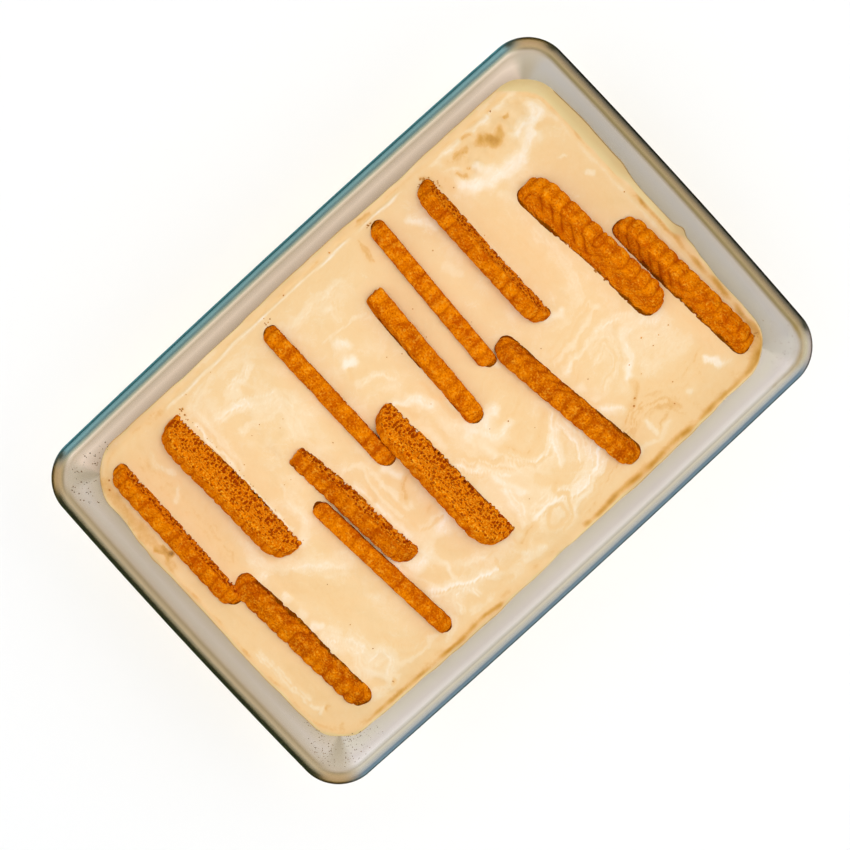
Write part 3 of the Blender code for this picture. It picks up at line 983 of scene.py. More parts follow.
@dataclass
class BiscuitMould:
    """The shape that every biscuit comes from, in millimetres in its own frame.

    X runs along it, Z down from its top edge, and its flat back is on the +Y side.
    """

    width: float = 31.0
    torn_corner: float = 0.6
    draft: float = 0.3
    back_round: float = 0.8
    front_round: float = 2.6
    front_pull: float = 1.3
    pitch: float = 5.008
    fine: float = 0.34
    coarse: float = 2.6
    tree: Relief | None = field(default=None, repr=False)

    def segments(self, inset: float, ends: tuple[float, float], corners: tuple[float, float]) -> list:
        """Return the runs and arcs of one outline, from the top's middle towards +X.

        Args:
            inset: How far the outline is drawn in.
            ends: How far the biscuit reaches towards +X and -X.
            corners: Corner radii at those two ends.

        Returns:
            For each stretch its start, its end and, for an arc, its centre and radius.
        """
        right, left = ends[0] - inset, ends[1] - inset
        at_right, at_left = (max(corner - inset, 0.25) for corner in corners)
        top, low = -inset, inset - self.width
        return [
            ((0, top), (right - at_right, top), None, 0),
            (90, 0, (right - at_right, top - at_right), at_right),
            ((right, top - at_right), (right, low + at_right), None, 0),
            (0, -90, (right - at_right, low + at_right), at_right),
            ((right - at_right, low), (at_left - left, low), None, 0),
            (270, 180, (at_left - left, low + at_left), at_left),
            ((-left, low + at_left), (-left, top - at_left), None, 0),
            (180, 90, (at_left - left, top - at_left), at_left),
            ((at_left - left, top), (0, top), None, 0),
        ]

    def lengths(self, stretches: list) -> list[float]:
        """Return how long each stretch of an outline is."""
        found = []
        for start, end, centre, radius in stretches:
            if centre is None:
                found.append(math.dist(start, end))
            else:
                found.append(radius * math.radians(abs(start - end)))
        return found

    def walk(self, stretches: list, spots: list[tuple[int, float]]) -> tuple[np.ndarray, np.ndarray]:
        """Return the places and outward directions at spots along an outline.

        Args:
            stretches: The outline.
            spots: Stretch number and share of it, for each spot.

        Returns:
            The places and the directions, both as X and Z.
        """
        places, outs = [], []
        downs = {0: (0, 1), 2: (1, 0), 4: (0, -1), 6: (-1, 0), 8: (0, 1)}
        for index, share in spots:
            start, end, centre, radius = stretches[index]
            if centre is None:
                places.append((start[0] + (end[0] - start[0]) * share, start[1] + (end[1] - start[1]) * share))
                outs.append(downs[index])
            else:
                angle = math.radians(start + (end - start) * share)
                out = (math.cos(angle), math.sin(angle))
                places.append((centre[0] + radius * out[0], centre[1] + radius * out[1]))
                outs.append(out)
        return np.array(places), np.array(outs)

    def columns(self, lengths: list[float], shown: float, corner: float) -> list[tuple[int, float]]:
        """Choose the spots round the outline: close together where the biscuit shows, far apart below."""
        total = sum(lengths)
        top_right = lengths[0] + lengths[1] + max(0.0, shown - corner)
        top_left = lengths[8] + lengths[7] + max(0.0, shown - corner)
        first = np.linspace(0, top_right, math.ceil(top_right / self.fine), endpoint=False)
        hidden = total - top_right - top_left
        second = top_right + np.linspace(0, hidden, math.ceil(hidden / self.coarse), endpoint=False)
        third = total - top_left + np.linspace(0, top_left, math.ceil(top_left / self.fine), endpoint=False)
        spots = []
        for travelled in np.concatenate([first, second, third]):
            for index, length in enumerate(lengths):
                if travelled <= length or index == len(lengths) - 1:
                    spots.append((index, min(travelled / max(length, 1e-6), 1.0)))
                    break
                travelled -= length
        return spots

    def section(self, shown: float, stand: Stand) -> list[tuple[float, float, float, float]]:
        """Return the rows from the back's middle over the edge to the front's middle.

        Args:
            shown: How far down the faces show, in millimetres.
            stand: How it stands, because the face that looks up has closer rows.

        Returns:
            For each row its inset, its place across, and how far in it is on the back and on the front.
        """
        half = stand.thick / 2
        paces = (0.36, 0.62) if stand.lean > 8 else (0.62, 0.36) if stand.lean < -8 else (0.46, 0.46)
        reaches = []
        for pace in paces:
            found = [0.12, 0.3, *np.arange(0.6, shown, pace)]
            reaches.append(found + [*np.arange(shown + 0.6, 11.0, 2.2), 11.6])
        turn = np.radians(np.linspace(15, 90, 6))
        back_arc = half - self.back_round * (1 - np.cos(turn))
        front_arc = self.front_round * (1 - np.cos(np.radians(np.linspace(90, 0, 12)))) - half
        middle = np.arange(back_arc[-1] - 0.36, front_arc[0] + 0.1, -0.36)
        first = self.drawn_in(half, stand.thick)
        rows = [(first + reach, half, reach, 0.0) for reach in reversed(reaches[0])]
        rows.append((first, half, 0.0, 0.0))
        rows += [(self.drawn_in(across, stand.thick), across, 0.0, 0.0) for across in [*back_arc, *middle, *front_arc]]
        last = self.drawn_in(-half, stand.thick)
        rows += [(last + reach, -half, 0.0, reach) for reach in reaches[1]]
        return rows

    def drawn_in(self, across: float, thick: float) -> float:
        """Return how far the edge has drawn in at a place across: round at the back, drafted to the front."""
        half = thick / 2
        over_back = min(max((across - half + self.back_round) / self.back_round, 0.0), 1.0)
        over_front = min(max((self.front_round - half - across) / self.front_round, 0.0), 1.0)
        inset = self.back_round * (1 - math.sqrt(1 - over_back**2))
        inset += self.front_pull * (1 - math.sqrt(1 - over_front**2))
        return inset + self.draft * ((half - across) / thick) ** 1.5

    def blank(self, name: str, stand: Stand) -> bpy.types.Object:
        """Make one plain biscuit in its own frame, with the numbers that the relief needs.

        Args:
            name: The piece's name.
            stand: How it stands.

        Returns:
            The piece, in millimetres.
        """
        shown = min(stand.rise / math.cos(math.radians(stand.lean)) + 2.4, 13.0)
        snapped = stand.whole - stand.long / 2
        ends = [stand.long / 2, stand.long / 2]
        corners = [stand.corner, stand.corner]
        if stand.whole < stand.long:
            side = 0 if stand.back < 0 else 1
            ends[side], corners[side] = snapped, self.torn_corner
        base = self.segments(0.0, ends, corners)
        lengths = self.lengths(base)
        spots = self.columns(lengths, shown, stand.corner)
        starts = np.concatenate([[0.0], np.cumsum(lengths)])
        along = np.array([starts[index] + share * lengths[index] for index, share in spots])
        along = np.minimum(along, starts[-1] - along)
        points, layers, outward = [], [], []
        rows = self.section(shown, stand)
        for inset, across, back_in, front_in in rows:
            plan, outs = self.walk(self.segments(inset, ends, corners), spots)
            points.append(np.column_stack([plan[:, 0], np.full(len(plan), across), plan[:, 1]]))
            outward.append(np.column_stack([outs[:, 0], np.zeros(len(outs)), outs[:, 1]]))
            layers.append(np.column_stack([along, np.full((len(plan), 3), (across, back_in, front_in))]))
        around = len(spots)
        faces = ring_faces(len(rows), around)
        middle = [points[0].mean(0), points[-1].mean(0)]
        places = np.vstack([*points, middle])
        start, end = len(places) - 2, len(places) - 1
        last = (len(rows) - 1) * around
        for step in range(around):
            after = (step + 1) % around
            faces.append((start, after, step))
            faces.append((end, last + step, last + after))
        piece = new_piece(name, places, faces, None)
        table = np.vstack([*layers, layers[0][:1], layers[-1][:1]])
        for column, title in enumerate(("along", "across", "back_in", "front_in")):
            keep_layer(piece, title, table[:, column])
        keep_layer(piece, "outward", np.vstack([*outward, [[0, 0, 0]], [[0, 0, 0]]]))
        stood = places @ np.array(stand.matrix())[2, :3] + stand.matrix().translation.z
        keep_layer(piece, "up", stood / MM - CREAM_LEVEL)
        torn = np.zeros(len(places))
        if stand.whole < stand.long:
            sign = 1 if stand.back < 0 else -1
            torn = smooth(places[:, 0] * sign, snapped - 0.7, snapped - 0.05)
        keep_layer(piece, "torn", torn)
        keep_layer(piece, "north", places[:, 0] * (1 if stand.back < 0 else -1))
        return piece

    def relief(self) -> Relief:
        """Make the tree that presses the scallops, ribs and holes into a plain biscuit."""
        tree = Relief(
            "spice_biscuit",
            {
                "Scallop pitch": self.pitch,
                "Bulge": 0.46,
                "Crease depth": 0.5,
                "Crease width": 0.62,
                "Rib height": 0.46,
                "Rib slant": 0.9,
                "Pit depth": 0.42,
                "Lump height": 0.34,
                "Grain height": 0.14,
                "Tear depth": 1.3,
                "End pull": 3.2,
                "Wrap": 0.0,
                "Crispness": 1.0,
                "Baking": 0.0,
            },
            {"Seed": 1},
        )
        along, across = tree.layer("along"), tree.layer("across")
        back_in, front_in, torn = tree.layer("back_in"), tree.layer("front_in"), tree.layer("torn")
        up, outward = tree.layer("up"), tree.layer_vector("outward")
        position = tree.out(tree.add("GeometryNodeInputPosition"))
        normal = tree.out(tree.add("GeometryNodeInputNormal"))
        x, y, z = tree.split(position)
        shift = tree.given("Seed") * 7.31
        place = tree.vector("ADD", position, tree.join(shift, shift * 0.6, shift * 0.3))
        whole = 1.0 - torn

        deep = (3.1 - across) * tree.step(back_in, 0.2, 0.0) + front_in
        run = along + (abs(x) - along) * tree.step(front_in, 0.0, 2.5)
        hook = deep * -0.1 + tree.math("MAXIMUM", deep - 5.4, 0.0) * tree.given("Rib slant")
        wander = tree.noise(tree.join(along * 0.09, shift, tree.math("SIGN", x)), 1.0, 1.0) * 3.0
        ragged = (tree.noise(place, 0.45, 2.0) - 0.5) * 0.9
        beat = (run + hook + wander + ragged) / tree.given("Scallop pitch") + shift * 0.37
        to_crease = (0.5 - abs(tree.math("FRACT", beat) - 0.5)) * tree.given("Scallop pitch")
        groove = tree.math("EXPONENT", (to_crease / tree.given("Crease width")) ** 2 * -1.0) * tree.given("Crispness")
        hollowed = ((2.5 - to_crease) / 2.5) ** 2
        bite = tree.step(tree.noise(tree.join(along * 0.10, shift, 3.0 + tree.math("SIGN", x)), 1.0, 1.0), 0.36, 0.62)

        near_edge = tree.step(back_in, 1.6, 0.0) * tree.step(front_in, 2.4, 0.4)
        both = abs(across / 6.2) * 1.1 + 0.45
        pull = hollowed * tree.given("Bulge") + groove * (bite * 0.75 + 0.25) * tree.given("Crease depth")
        pull = (pull - 0.2) * both * near_edge * whole
        drown = tree.step(up, 3.2, -0.4) * abs(tree.split(outward)[0]) ** 3
        aside = tree.math("MINIMUM", abs(across / 3.1), 1.0)
        rounded = (1.0 - (1.0 - aside**2) ** 0.5) * (tree.step(across, 1.0, -1.0) * 0.4 + 0.6)
        pull = pull + drown * whole * rounded * tree.given("End pull")

        ribs = 0.35 - hollowed * 0.5 - groove * (bite * 0.8 + 0.2)
        margin = tree.step(front_in, 8.5, 6.0) * tree.step(up, 0.2, 2.6) * (tree.step(tree.layer("north"), -12.0, 6.0) * 0.85 + 0.15)
        on_front = tree.step(front_in, 0.0, 0.9)
        rib = ribs * margin * on_front * whole * tree.given("Rib height")
        hollow_near, hollow_own = tree.cells(place, 0.40)
        hollow = tree.step(hollow_near, 0.36, 0.16) * tree.step(hollow_own, 0.35, 0.5)
        hollow = hollow * tree.step(up, 2.6, 0.9) * tree.step(front_in, 2.0, 4.0)

        wrapped = tree.step(across + tree.given("Wrap"), 3.1, 3.7)
        on_back = tree.math("MAXIMUM", tree.step(back_in, 0.2, 0.9), wrapped)
        pit = oven_pits(tree, place, up, on_back)
        toothed = tree.step(up, 2.2, 0.4) * 1.0 + 1.0
        sunk = pit * tree.given("Pit depth") * toothed + hollow * 0.45 - rib

        lump = (tree.noise(place, 0.24, 2.0) - 0.5) * tree.given("Lump height") * 2.0
        grain = (tree.noise(place, 1.5, 2.0) - 0.5) * tree.given("Grain height") * 2.0
        tear_noise = tree.noise(tree.join(shift, y * 0.55, z * 0.4), 1.0, 3.0) - 0.5
        tear = tree.join(tree.math("SIGN", x) * tear_noise * torn * tree.given("Tear depth") * 2.0, 0.0, 0.0)

        inward = tree.join(0.0, tree.step(across, 0.5, -0.5) * 2.0 - 1.0, 0.0)
        move = tree.scaled(outward, pull * -1.0)
        move = tree.vector("ADD", move, tree.scaled(inward, sunk))
        move = tree.vector("ADD", move, tree.scaled(normal, lump + grain))
        move = tree.vector("ADD", move, tear)
        shape = tree.given("Geometry")
        # painted shade: crease lines, rib valleys and hollows, and the broad dips, stored for the crust to darken
        line = tree.math("EXPONENT", (to_crease / 0.32) ** 2 * -1.0) * (bite * 0.85 + 0.15) * tree.given("Crispness")
        line = line * near_edge * (1.0 - on_back)
        valley_shade = tree.math("MAXIMUM", line, groove * margin * on_front * 0.75) * whole
        shape = tree.store(shape, "crease_shade", tree.math("MAXIMUM", valley_shade, hollow * 1.6))
        shape = tree.store(shape, "dip_shade", hollowed * whole * tree.math("MAXIMUM", near_edge, margin * on_front))
        shape = tree.store(shape, "flat", on_back)
        shape = tree.store(shape, "baked", tree.given("Baking"))
        shape = tree.store_vector(shape, "place", place)
        shape = tree.out(tree.add("GeometryNodeSetPosition", {"Geometry": shape, "Offset": move}))
        tree.finish(shape)
        return tree

    def build(self, number: int, stand: Stand, crust: bpy.types.Material) -> bpy.types.Object:
        """Build one biscuit where it stands.

        Args:
            number: Its number, from 1.
            stand: How it stands.
            crust: The crust material.

        Returns:
            The piece.
        """
        if self.tree is None:
            self.tree = self.relief()
        piece = self.blank(f"spice_biscuit_{number:02d}", stand)
        self.tree.apply(piece, crust, seed=number, end_pull=stand.blunt, wrap=stand.wrap, crispness=stand.crisp, baking=stand.baked)
        piece.data.transform(stand.matrix())
        for title in ("along", "across", "back_in", "front_in", "outward", "torn", "north"):
            piece.data.attributes.remove(piece.data.attributes[title])
        return piece


# ---------------------------------------------------------------- cream


@dataclass(frozen=True)
class Smear:
    """A smear of one tone in the cream.

    path    its middle line in plan, in millimetres
    reach   its half width, in millimetres
    tone    over 0 towards ivory, under 0 towards tan, under -1.5 towards brown
    combed  how strongly fine lines run along it
    """

    path: tuple[Place, ...]
    reach: float
    tone: float
    combed: float = 0.0

    def curve(self, pace: float = 0.8) -> np.ndarray:
        """Return points along the smear's smooth middle line, `pace` millimetres apart or closer."""
        knots = np.array(self.path, dtype=float)
        padded = np.vstack([2 * knots[0] - knots[1], knots, 2 * knots[-1] - knots[-2]])
        points = []
        for before, start, end, after in zip(padded, padded[1:], padded[2:], padded[3:]):
            steps = max(2, math.ceil(math.dist(start, end) / pace))
            for t in np.arange(steps) / steps:
                bend = (2 * before - 5 * start + 4 * end - after) * t * t
                twist = (3 * start - before - 3 * end + after) * t**3
                points.append(0.5 * (2 * start + (end - before) * t + bend + twist))
        points.append(knots[-1])
        return np.array(points)

    def comb(self, side: np.ndarray, run: np.ndarray) -> np.ndarray:
        """Return fine lines, about -1 to 1, at places `side` of the middle line and `run` along it."""
        draw = np.random.default_rng(int(abs(self.path[0][0] * 7 + self.path[0][1] * 13)) + 1)
        lines = np.zeros_like(side)
        for wave in (0.95, 1.3, 1.8, 2.6, 3.9):
            phase, bend = draw.uniform(0, 2 * math.pi, 2)
            lines += np.sin(2 * math.pi * side / wave + phase + 1.1 * np.sin(run * 0.16 + bend))
        return lines / 2.2

    def cover(self, tone: np.ndarray, x: np.ndarray, y: np.ndarray) -> None:
        """Lay the smear over the tones at some places.

        Args:
            tone: The tones, which are changed.
            x: The places' X, in millimetres.
            y: The places' Y, in millimetres.
        """
        curve = self.curve()
        low, high = curve.min(0) - 2.0 * self.reach, curve.max(0) + 2.0 * self.reach
        near = (x > low[0]) & (x < high[0]) & (y > low[1]) & (y < high[1])
        place_x, place_y = x[near], y[near]
        best = np.full(place_x.shape, 1e9)
        side, run = np.zeros_like(best), np.zeros_like(best)
        travelled = 0.0
        for start, end in zip(curve, curve[1:]):
            step_x, step_y = end - start
            length = math.hypot(step_x, step_y)
            from_x, from_y = place_x - start[0], place_y - start[1]
            share = np.clip((from_x * step_x + from_y * step_y) / length**2, 0, 1)
            away_x, away_y = from_x - share * step_x, from_y - share * step_y
            away = np.hypot(away_x, away_y)
            closer = away < best
            best = np.where(closer, away, best)
            side = np.where(closer, (step_x * from_y - step_y * from_x) / length, side)
            run = np.where(closer, travelled + share * length, run)
            travelled += length
        weight = np.exp(-((best / self.reach) ** 3))
        value = self.tone + 0.5 * self.combed * self.comb(side, run)
        tone[near] += weight * (value - tone[near])


SMEARS = (
    Smear(((24, 60), (24, 36), (22, 12)), 13, -0.35),
    Smear(((-96, 12), (-96, -20), (-94, -54)), 7, -0.45),
    Smear(((-86, -52), (-70, -62), (-58, -60)), 4, -0.5),
    Smear(((48, -58), (66, -52), (84, -44), (94, -30)), 9, -0.55),
    Smear(((-24, -30), (-8, -36), (6, -38), (10, -54)), 8, 0.4),
    Smear(((4, -14), (12, -24)), 6, 0.4),
    Smear(((-40, -22), (-30, -33)), 6, 0.35),
    Smear(((62, -28), (80, -26)), 6, 0.35),
    Smear(((-60, 40), (-63, 22)), 5, -0.4),
    Smear(((-80, -2), (-76, -4), (-71, -8), (-66, -11), (-62, -15), (-58, -18)), 4.2, 0.4, 0.3),
    Smear(((-80, -3), (-76, -5), (-71, -8.5), (-66, -11.5), (-62, -15.5), (-58, -18.5)), 1.56, 0.8, 0.5),
    Smear(((-79, 12), (-79, 4), (-77, -2)), 2.4, 0.6, 0.3),
    Smear(((-78, -9), (-73, -14), (-69, -21), (-67, -30)), 4.6, -0.55, 0.2),
    Smear(((-64, -48), (-60, -54), (-52, -56)), 3.4, -0.5, 0.6),
    Smear(((-66, -57), (-58, -58.6), (-51, -57)), 0.91, 0.48),
    Smear(((-79.3, -13), (-79, -14)), 1.69, 0.8),
    Smear(((-79.2, -21), (-78.6, -22)), 1.82, 0.77),
    Smear(((-79.5, -27), (-77.5, -28.5)), 1.5, 1),
    Smear(((-79, -31.5), (-76, -31.5), (-74.4, -34)), 1.04, 0.64),
    Smear(((-77.5, -36), (-74, -40), (-73.5, -46), (-76, -50)), 4.2, 0.65, 0.5),
    Smear(((-71, -48), (-67, -49), (-67.5, -54), (-71, -56)), 2.6, 0.7, 0.4),
    Smear(((-76.5, -50), (-74, -53), (-72.4, -57)), 1.52, 0.83),
    Smear(((-80, -58), (-75, -60), (-70, -58)), 2.2, 0.55, 0.4),
    Smear(((-95, -6), (-94, -30), (-94, -52)), 3.2, -0.55, 0.2),
    Smear(((-98.6, -22), (-98.6, -34), (-97.8, -44)), 1.9, 0.35, 0.9),
    Smear(((-98, -46.5), (-96, -49)), 0.78, 0.64),
    Smear(((-97.4, -51), (-95, -50.2)), 0.85, 0.69),
    Smear(((-94.8, -51.4), (-94.2, -51)), 0.65, -1.14),
    Smear(((-45.5, -30), (-40, -35), (-34, -36), (-28, -34), (-21, -29.5)), 3, 1, 0.3),
    Smear(((-30, -27.6), (-26, -29), (-21.6, -28.4)), 0.45, -0.54),
    Smear(((-37.5, -30), (-33.5, -36), (-32, -42), (-33, -47)), 1.01, 0.83),
    Smear(((-43, -32), (-41.5, -40), (-38, -47)), 0.7, 0.5),
    Smear(((-36.8, -42), (-36.2, -44)), 2.6, -0.35, 0.3),
    Smear(((-28, -37), (-24, -42)), 4, -0.3, 0.2),
    Smear(((-41, -46), (-35, -49), (-28, -52), (-20, -55)), 2.4, 0.95, 1.0),
    Smear(((-38.6, -57), (-37, -53), (-33, -53), (-30, -57)), 1.3, 0.72, 0.7),
    Smear(((-27, -46), (-20, -49)), 1.56, 0.68, 0.5),
    Smear(((-36, -60), (-29, -62)), 1.3, 0.72, 0.3),
    Smear(((-35, -56.6), (-28, -59), (-18, -60)), 1.04, -0.36, 0.5),
    Smear(((-50, -62), (-46, -61), (-42, -57)), 1.6, 0.6, 0.4),
    Smear(((-36, -1), (-35.4, -10), (-34.6, -18), (-34, -26)), 1.4, 0.75, 0.6),
    Smear(((-31, -10), (-31, -18), (-30.5, -24)), 1.95, -0.36, 0.7),
    Smear(((-33, -5.5), (-35, -9)), 1.17, -0.6),
    Smear(((-29.6, -5), (-27, -9)), 1.17, -0.6),
    Smear(((-36, 5), (-33, 4), (-30, 1), (-32, -4), (-32.6, -12), (-31.6, -20)), 0.65, 0.56),
    Smear(((-29, -2), (-28.8, -12), (-28, -21), (-25, -16), (-21.4, -12.6)), 0.94, 0.69),
    Smear(((-26.4, -15.4), (-24, -12.6), (-21.4, -11.6)), 2.34, -1.05, 0.3),
    Smear(((-25.6, -4), (-24, -6), (-23, -8.6)), 1.9, 1),
    Smear(((-28, -23), (-23, -25)), 2.34, -0.48, 0.5),
    Smear(((-23.6, -24.6), (-22.6, -24)), 1.04, -0.9),
    Smear(((-5.6, -3), (-5.4, -12)), 1.43, 0.48),
    Smear(((0, -6), (0.6, -8)), 2.6, 0.55),
    Smear(((3.2, -9.5), (3.7, -14), (2.6, -18.5)), 1.04, 0.72),
    Smear(((17, -9), (24, -7), (26, -16), (18, -18)), 4.4, -0.45, 0.4),
    Smear(((5.6, -14), (9, -15.6), (15, -14)), 2.8, 1, 0.2),
    Smear(((8, -18), (10, -21), (17.6, -21.6)), 1.9, 0.95, 0.4),
    Smear(((4.8, -20.6), (6, -25.4)), 1.86, 0.79),
    Smear(((-6, -21), (0, -27), (5, -33)), 2.6, 0.5, 1.0),
    Smear(((-3, -19), (3, -26), (8.6, -31)), 0.78, -0.42, 0.3),
    Smear(((10, -26.6), (13, -32), (19, -32.4), (27, -27)), 2.21, -0.57, 0.5),
    Smear(((16, -26), (20, -25)), 3.2, -0.4, 0.3),
    Smear(((8.6, -29), (12, -36), (20, -37), (28.6, -30)), 2.2, 0.45, 1.0),
    Smear(((26.6, -33.4), (23, -38), (21, -42.4)), 2.1, 0.95, 0.4),
    Smear(((30.6, -35), (30, -43), (25, -49)), 2.8, 0.65, 1.0),
    Smear(((18, -44), (24, -48), (27, -49)), 1.69, -0.42, 0.6),
    Smear(((11, -42), (17, -48), (22, -51)), 1.69, -0.33, 0.6),
    Smear(((0.4, -31.4), (2.4, -36.4), (4.4, -41.6)), 1.56, 1),
    Smear(((-0.6, -38), (-0.6, -45), (-2.6, -50)), 1.9, 0.95, 0.5),
    Smear(((3, -50), (12, -50.4), (18, -53), (26, -51.6), (33, -47)), 3.2, 0.85, 1.0),
    Smear(((13, -58.4), (22, -56.4), (32, -52.6)), 1.56, 0.92, 0.6),
    Smear(((-20, -51.6), (-17, -52)), 2.4, 0.3, 0.3),
    Smear(((3, -57), (4, -54.2), (8, -52.6), (11, -53), (10, -56.8), (5.4, -58.2), (3, -57)), 0.72, -0.72),
    Smear(((12.4, -49.8), (15.2, -52), (12.4, -57), (6, -60.4)), 0.59, -0.54),
    Smear(((-8, -54.4), (-4.6, -53.6), (-1.4, -52)), 1.3, -0.9, 0.3),
    Smear(((12.8, -48), (15, -47.2)), 1.17, -0.72),
    Smear(((-18, -52.4), (-17.6, -56), (-9, -56.4), (-9, -51.6)), 0.52, -0.42),
    Smear(((-10, -57.6), (-3.6, -61.4)), 1.82, 0.77, 0.4),
    Smear(((15, -60.6), (25, -58.2), (35, -55.4)), 2.21, -0.6, 0.7),
    Smear(((41, -14.4), (50, -13.9), (56, -11.4), (63, -10)), 0.55, -0.6),
    Smear(((42, -18.4), (52, -17.2), (58, -14.6), (65, -13.4)), 0.55, -0.54),
    Smear(((43, -11.4), (52, -11), (60, -8.4), (66, -8)), 0.52, -0.36),
    Smear(((44, -16.4), (56, -14.6), (66, -11.6)), 1.04, 0.48, 0.3),
    Smear(((43, -21), (56, -19.4), (64, -18.2), (72, -22)), 1.5, 0.65, 1.0),
    Smear(((59.6, -17.6), (63, -20.4)), 1.17, 0.72),
    Smear(((78, -28.4), (71, -25), (65, -25.4), (62.4, -31.6)), 1.5, 0.95, 0.5),
    Smear(((66, -24.4), (63.4, -28), (61.6, -31)), 1.86, 0.86),
    Smear(((60, -33.6), (57, -38)), 1.5, 1.25, 0.2),
    Smear(((52, -24), (60, -22), (58, -30), (50, -34)), 3, 0.25, 0.6),
    Smear(((44, -24), (50, -22)), 2, -0.4, 0.8),
    Smear(((70, -30), (77, -35), (66, -38), (80, -41)), 5, 0.3, 0.2),
    Smear(((42.6, -38.6), (47, -42.6), (49.6, -46)), 1.6, 1, 0.5),
    Smear(((43.4, -34), (45, -34.8)), 1.17, 0.64),
    Smear(((42.6, -28), (42.8, -29.4)), 1.52, 0.69),
    Smear(((46, -49.4), (52, -48), (60, -50), (64, -57)), 3.8, -0.95, 0.6),
    Smear(((60, -45), (70, -50), (80, -48)), 3.8, -0.75, 0.4),
    Smear(((50.6, -45.4), (53.6, -43.2), (57.4, -40.2)), 1.3, -1.08, 0.2),
    Smear(((58, -50.8), (62, -54), (64.6, -57)), 0.91, -1.26),
    Smear(((54, -57), (59, -54.4), (63, -54)), 0.78, -1.2),
    Smear(((51, -51.4), (51.8, -57)), 1.04, 0.72),
    Smear(((43, -58), (50, -59.6), (57, -58)), 1.3, 0.48, 0.3),
    Smear(((69, -54.4), (70.4, -55.8)), 1.69, 0.72, 0.3),
    Smear(((75, -57.4), (77.6, -58.4)), 1.43, 0.72),
    Smear(((81, -50.6), (84, -55.6), (88.4, -57)), 1.5, 1, 0.5),
    Smear(((84.6, -24), (86.6, -40), (87.6, -50)), 3.38, -0.51, 0.3),
    Smear(((92, -59.6), (96.6, -56.6), (99.4, -51)), 1.56, -1.32, 0.2),
    Smear(((-10.6, 31.4), (-9.4, 30.4)), 2.2, 1.35),
    Smear(((-8, 38.6), (-6, 35.2)), 1.56, 0.92),
    Smear(((-12.6, 24), (-11.4, 23.4)), 1.52, 0.65),
    Smear(((-10, 22.6), (-4, 21), (-2, 17)), 1.4, 0.5, 0.6),
    Smear(((-12.4, 27), (-11, 28)), 1.04, -0.66),
    Smear(((-8.6, 10), (-4.6, 8), (-1.4, 6.4), (0.8, 2)), 2.2, 1.1, 0.3),
    Smear(((-7.4, 8.4), (-5.4, 2)), 1.04, -0.6),
    Smear(((3.8, 9), (4.4, 2), (5, -7)), 0.91, -0.78),
    Smear(((-18, 52.6), (-8, 53.4), (5, 53)), 2.8, 0.45, 0.4),
    Smear(((-14, 53.4), (-8.6, 54.8), (-4.6, 53.2)), 0.59, 0.69),
    Smear(((-3, 49.4), (-1.4, 48.6)), 1.04, 0.72),
    Smear(((-12, 41.4), (0, 41), (6, 39)), 0.5, 0.5),
    Smear(((-16, 61), (0, 58.4), (12, 57)), 2.86, -0.36, 0.4),
    Smear(((20.4, 60.4), (20.6, 56), (19.4, 52)), 1.43, -1.08, 0.5),
    Smear(((38, 52.4), (41, 49.4), (43, 46)), 1.7, 0.85, 0.3),
    Smear(((36, 32.4), (38.4, 28)), 1.9, 0.5),
    Smear(((31, 32), (33, 26), (38, 21.6)), 0.91, -0.3),
    Smear(((52.6, 36.2), (52.8, 34.8)), 1.52, 0.76),
    Smear(((53.2, 28.4), (53.4, 26.4)), 1.35, 0.69),
    Smear(((53.8, 22.6), (54, 20.6)), 0.91, 0.64),
    Smear(((54.2, 7.6), (55, 6)), 1.3, 0.64),
    Smear(((49.6, -3.2), (54.6, -4.8)), 1.52, 0.86),
    Smear(((24, -1.2), (27, -3.4)), 1.3, 0.72),
    Smear(((58, 36), (60, 20), (60, 8)), 6, -0.5, 0.2),
    Smear(((67, 20), (67, 6), (64, -4)), 2.8, 0.35, 0.4),
    Smear(((78, 54), (70, 55), (64, 54)), 7, -0.45, 0.2),
    Smear(((56, 52.4), (60, 48), (66, 45), (74, 42.6), (82, 43.2), (90, 47), (96, 52), (98.6, 57)), 3, 1.2, 0.25),
    Smear(((66.6, 51), (69.4, 46.6)), 1.8, 1.05),
    Smear(((82, 52), (86, 50.6), (92, 50)), 2.4, 0.95, 0.4),
    Smear(((56, 62), (66, 61.4), (78, 61), (90, 61.6), (95.6, 60)), 1.56, 0.84, 0.4),
    Smear(((57, 59), (61, 55)), 1.69, 0.56, 0.3),
    Smear(((74.4, 56), (77, 53.4), (80.4, 53)), 2.84, -1.66, 0.2),
    Smear(((76.4, 54.6), (78, 53.2)), 1.26, -2.12),
    Smear(((85, 57), (86, 56.8)), 1.05, -1.7),
    Smear(((64, 58.4), (68.4, 57)), 1.16, -1.61, 0.4),
    Smear(((60.6, 53), (62, 51)), 0.73, -1.44),
    Smear(((64.4, 52.2), (64.8, 51.8)), 0.63, -1.53),
    Smear(((70, 60.4), (72, 60.4)), 0.95, -1.36),
    Smear(((55.4, 55.6), (56.6, 54)), 0.84, -1.27),
    Smear(((82.6, 61.2), (83.4, 61.2)), 0.63, -1.61),
    Smear(((72, 51), (73.6, 49.4)), 0.95, -0.77),
    Smear(((60, 58), (66, 55)), 1.47, -0.94, 0.5),
    Smear(((95, 57), (97.4, 55)), 1.26, -0.94),
    Smear(((92, 46.4), (96, 44)), 1.3, -0.54),
    Smear(((88, 38), (92, 25), (92, 12)), 5.6, -0.6, 0.15),
    Smear(((94, 23.6), (94.8, 22)), 1.18, 0.76),
    Smear(((90, 33.4), (91.6, 33)), 0.78, 0.64),
    Smear(((67, 38), (69, 34)), 1.6, 0.4),
    Smear(((-59, 56), (-59, 45), (-60, 30)), 1.8, 0.35, 0.3),
    Smear(((-62.3, 51), (-62.3, 34), (-62.6, 18), (-62.0, 2)), 0.55, 0.95),
    Smear(((-62.4, -3.6), (-61, -3.2)), 1.35, 0.83),
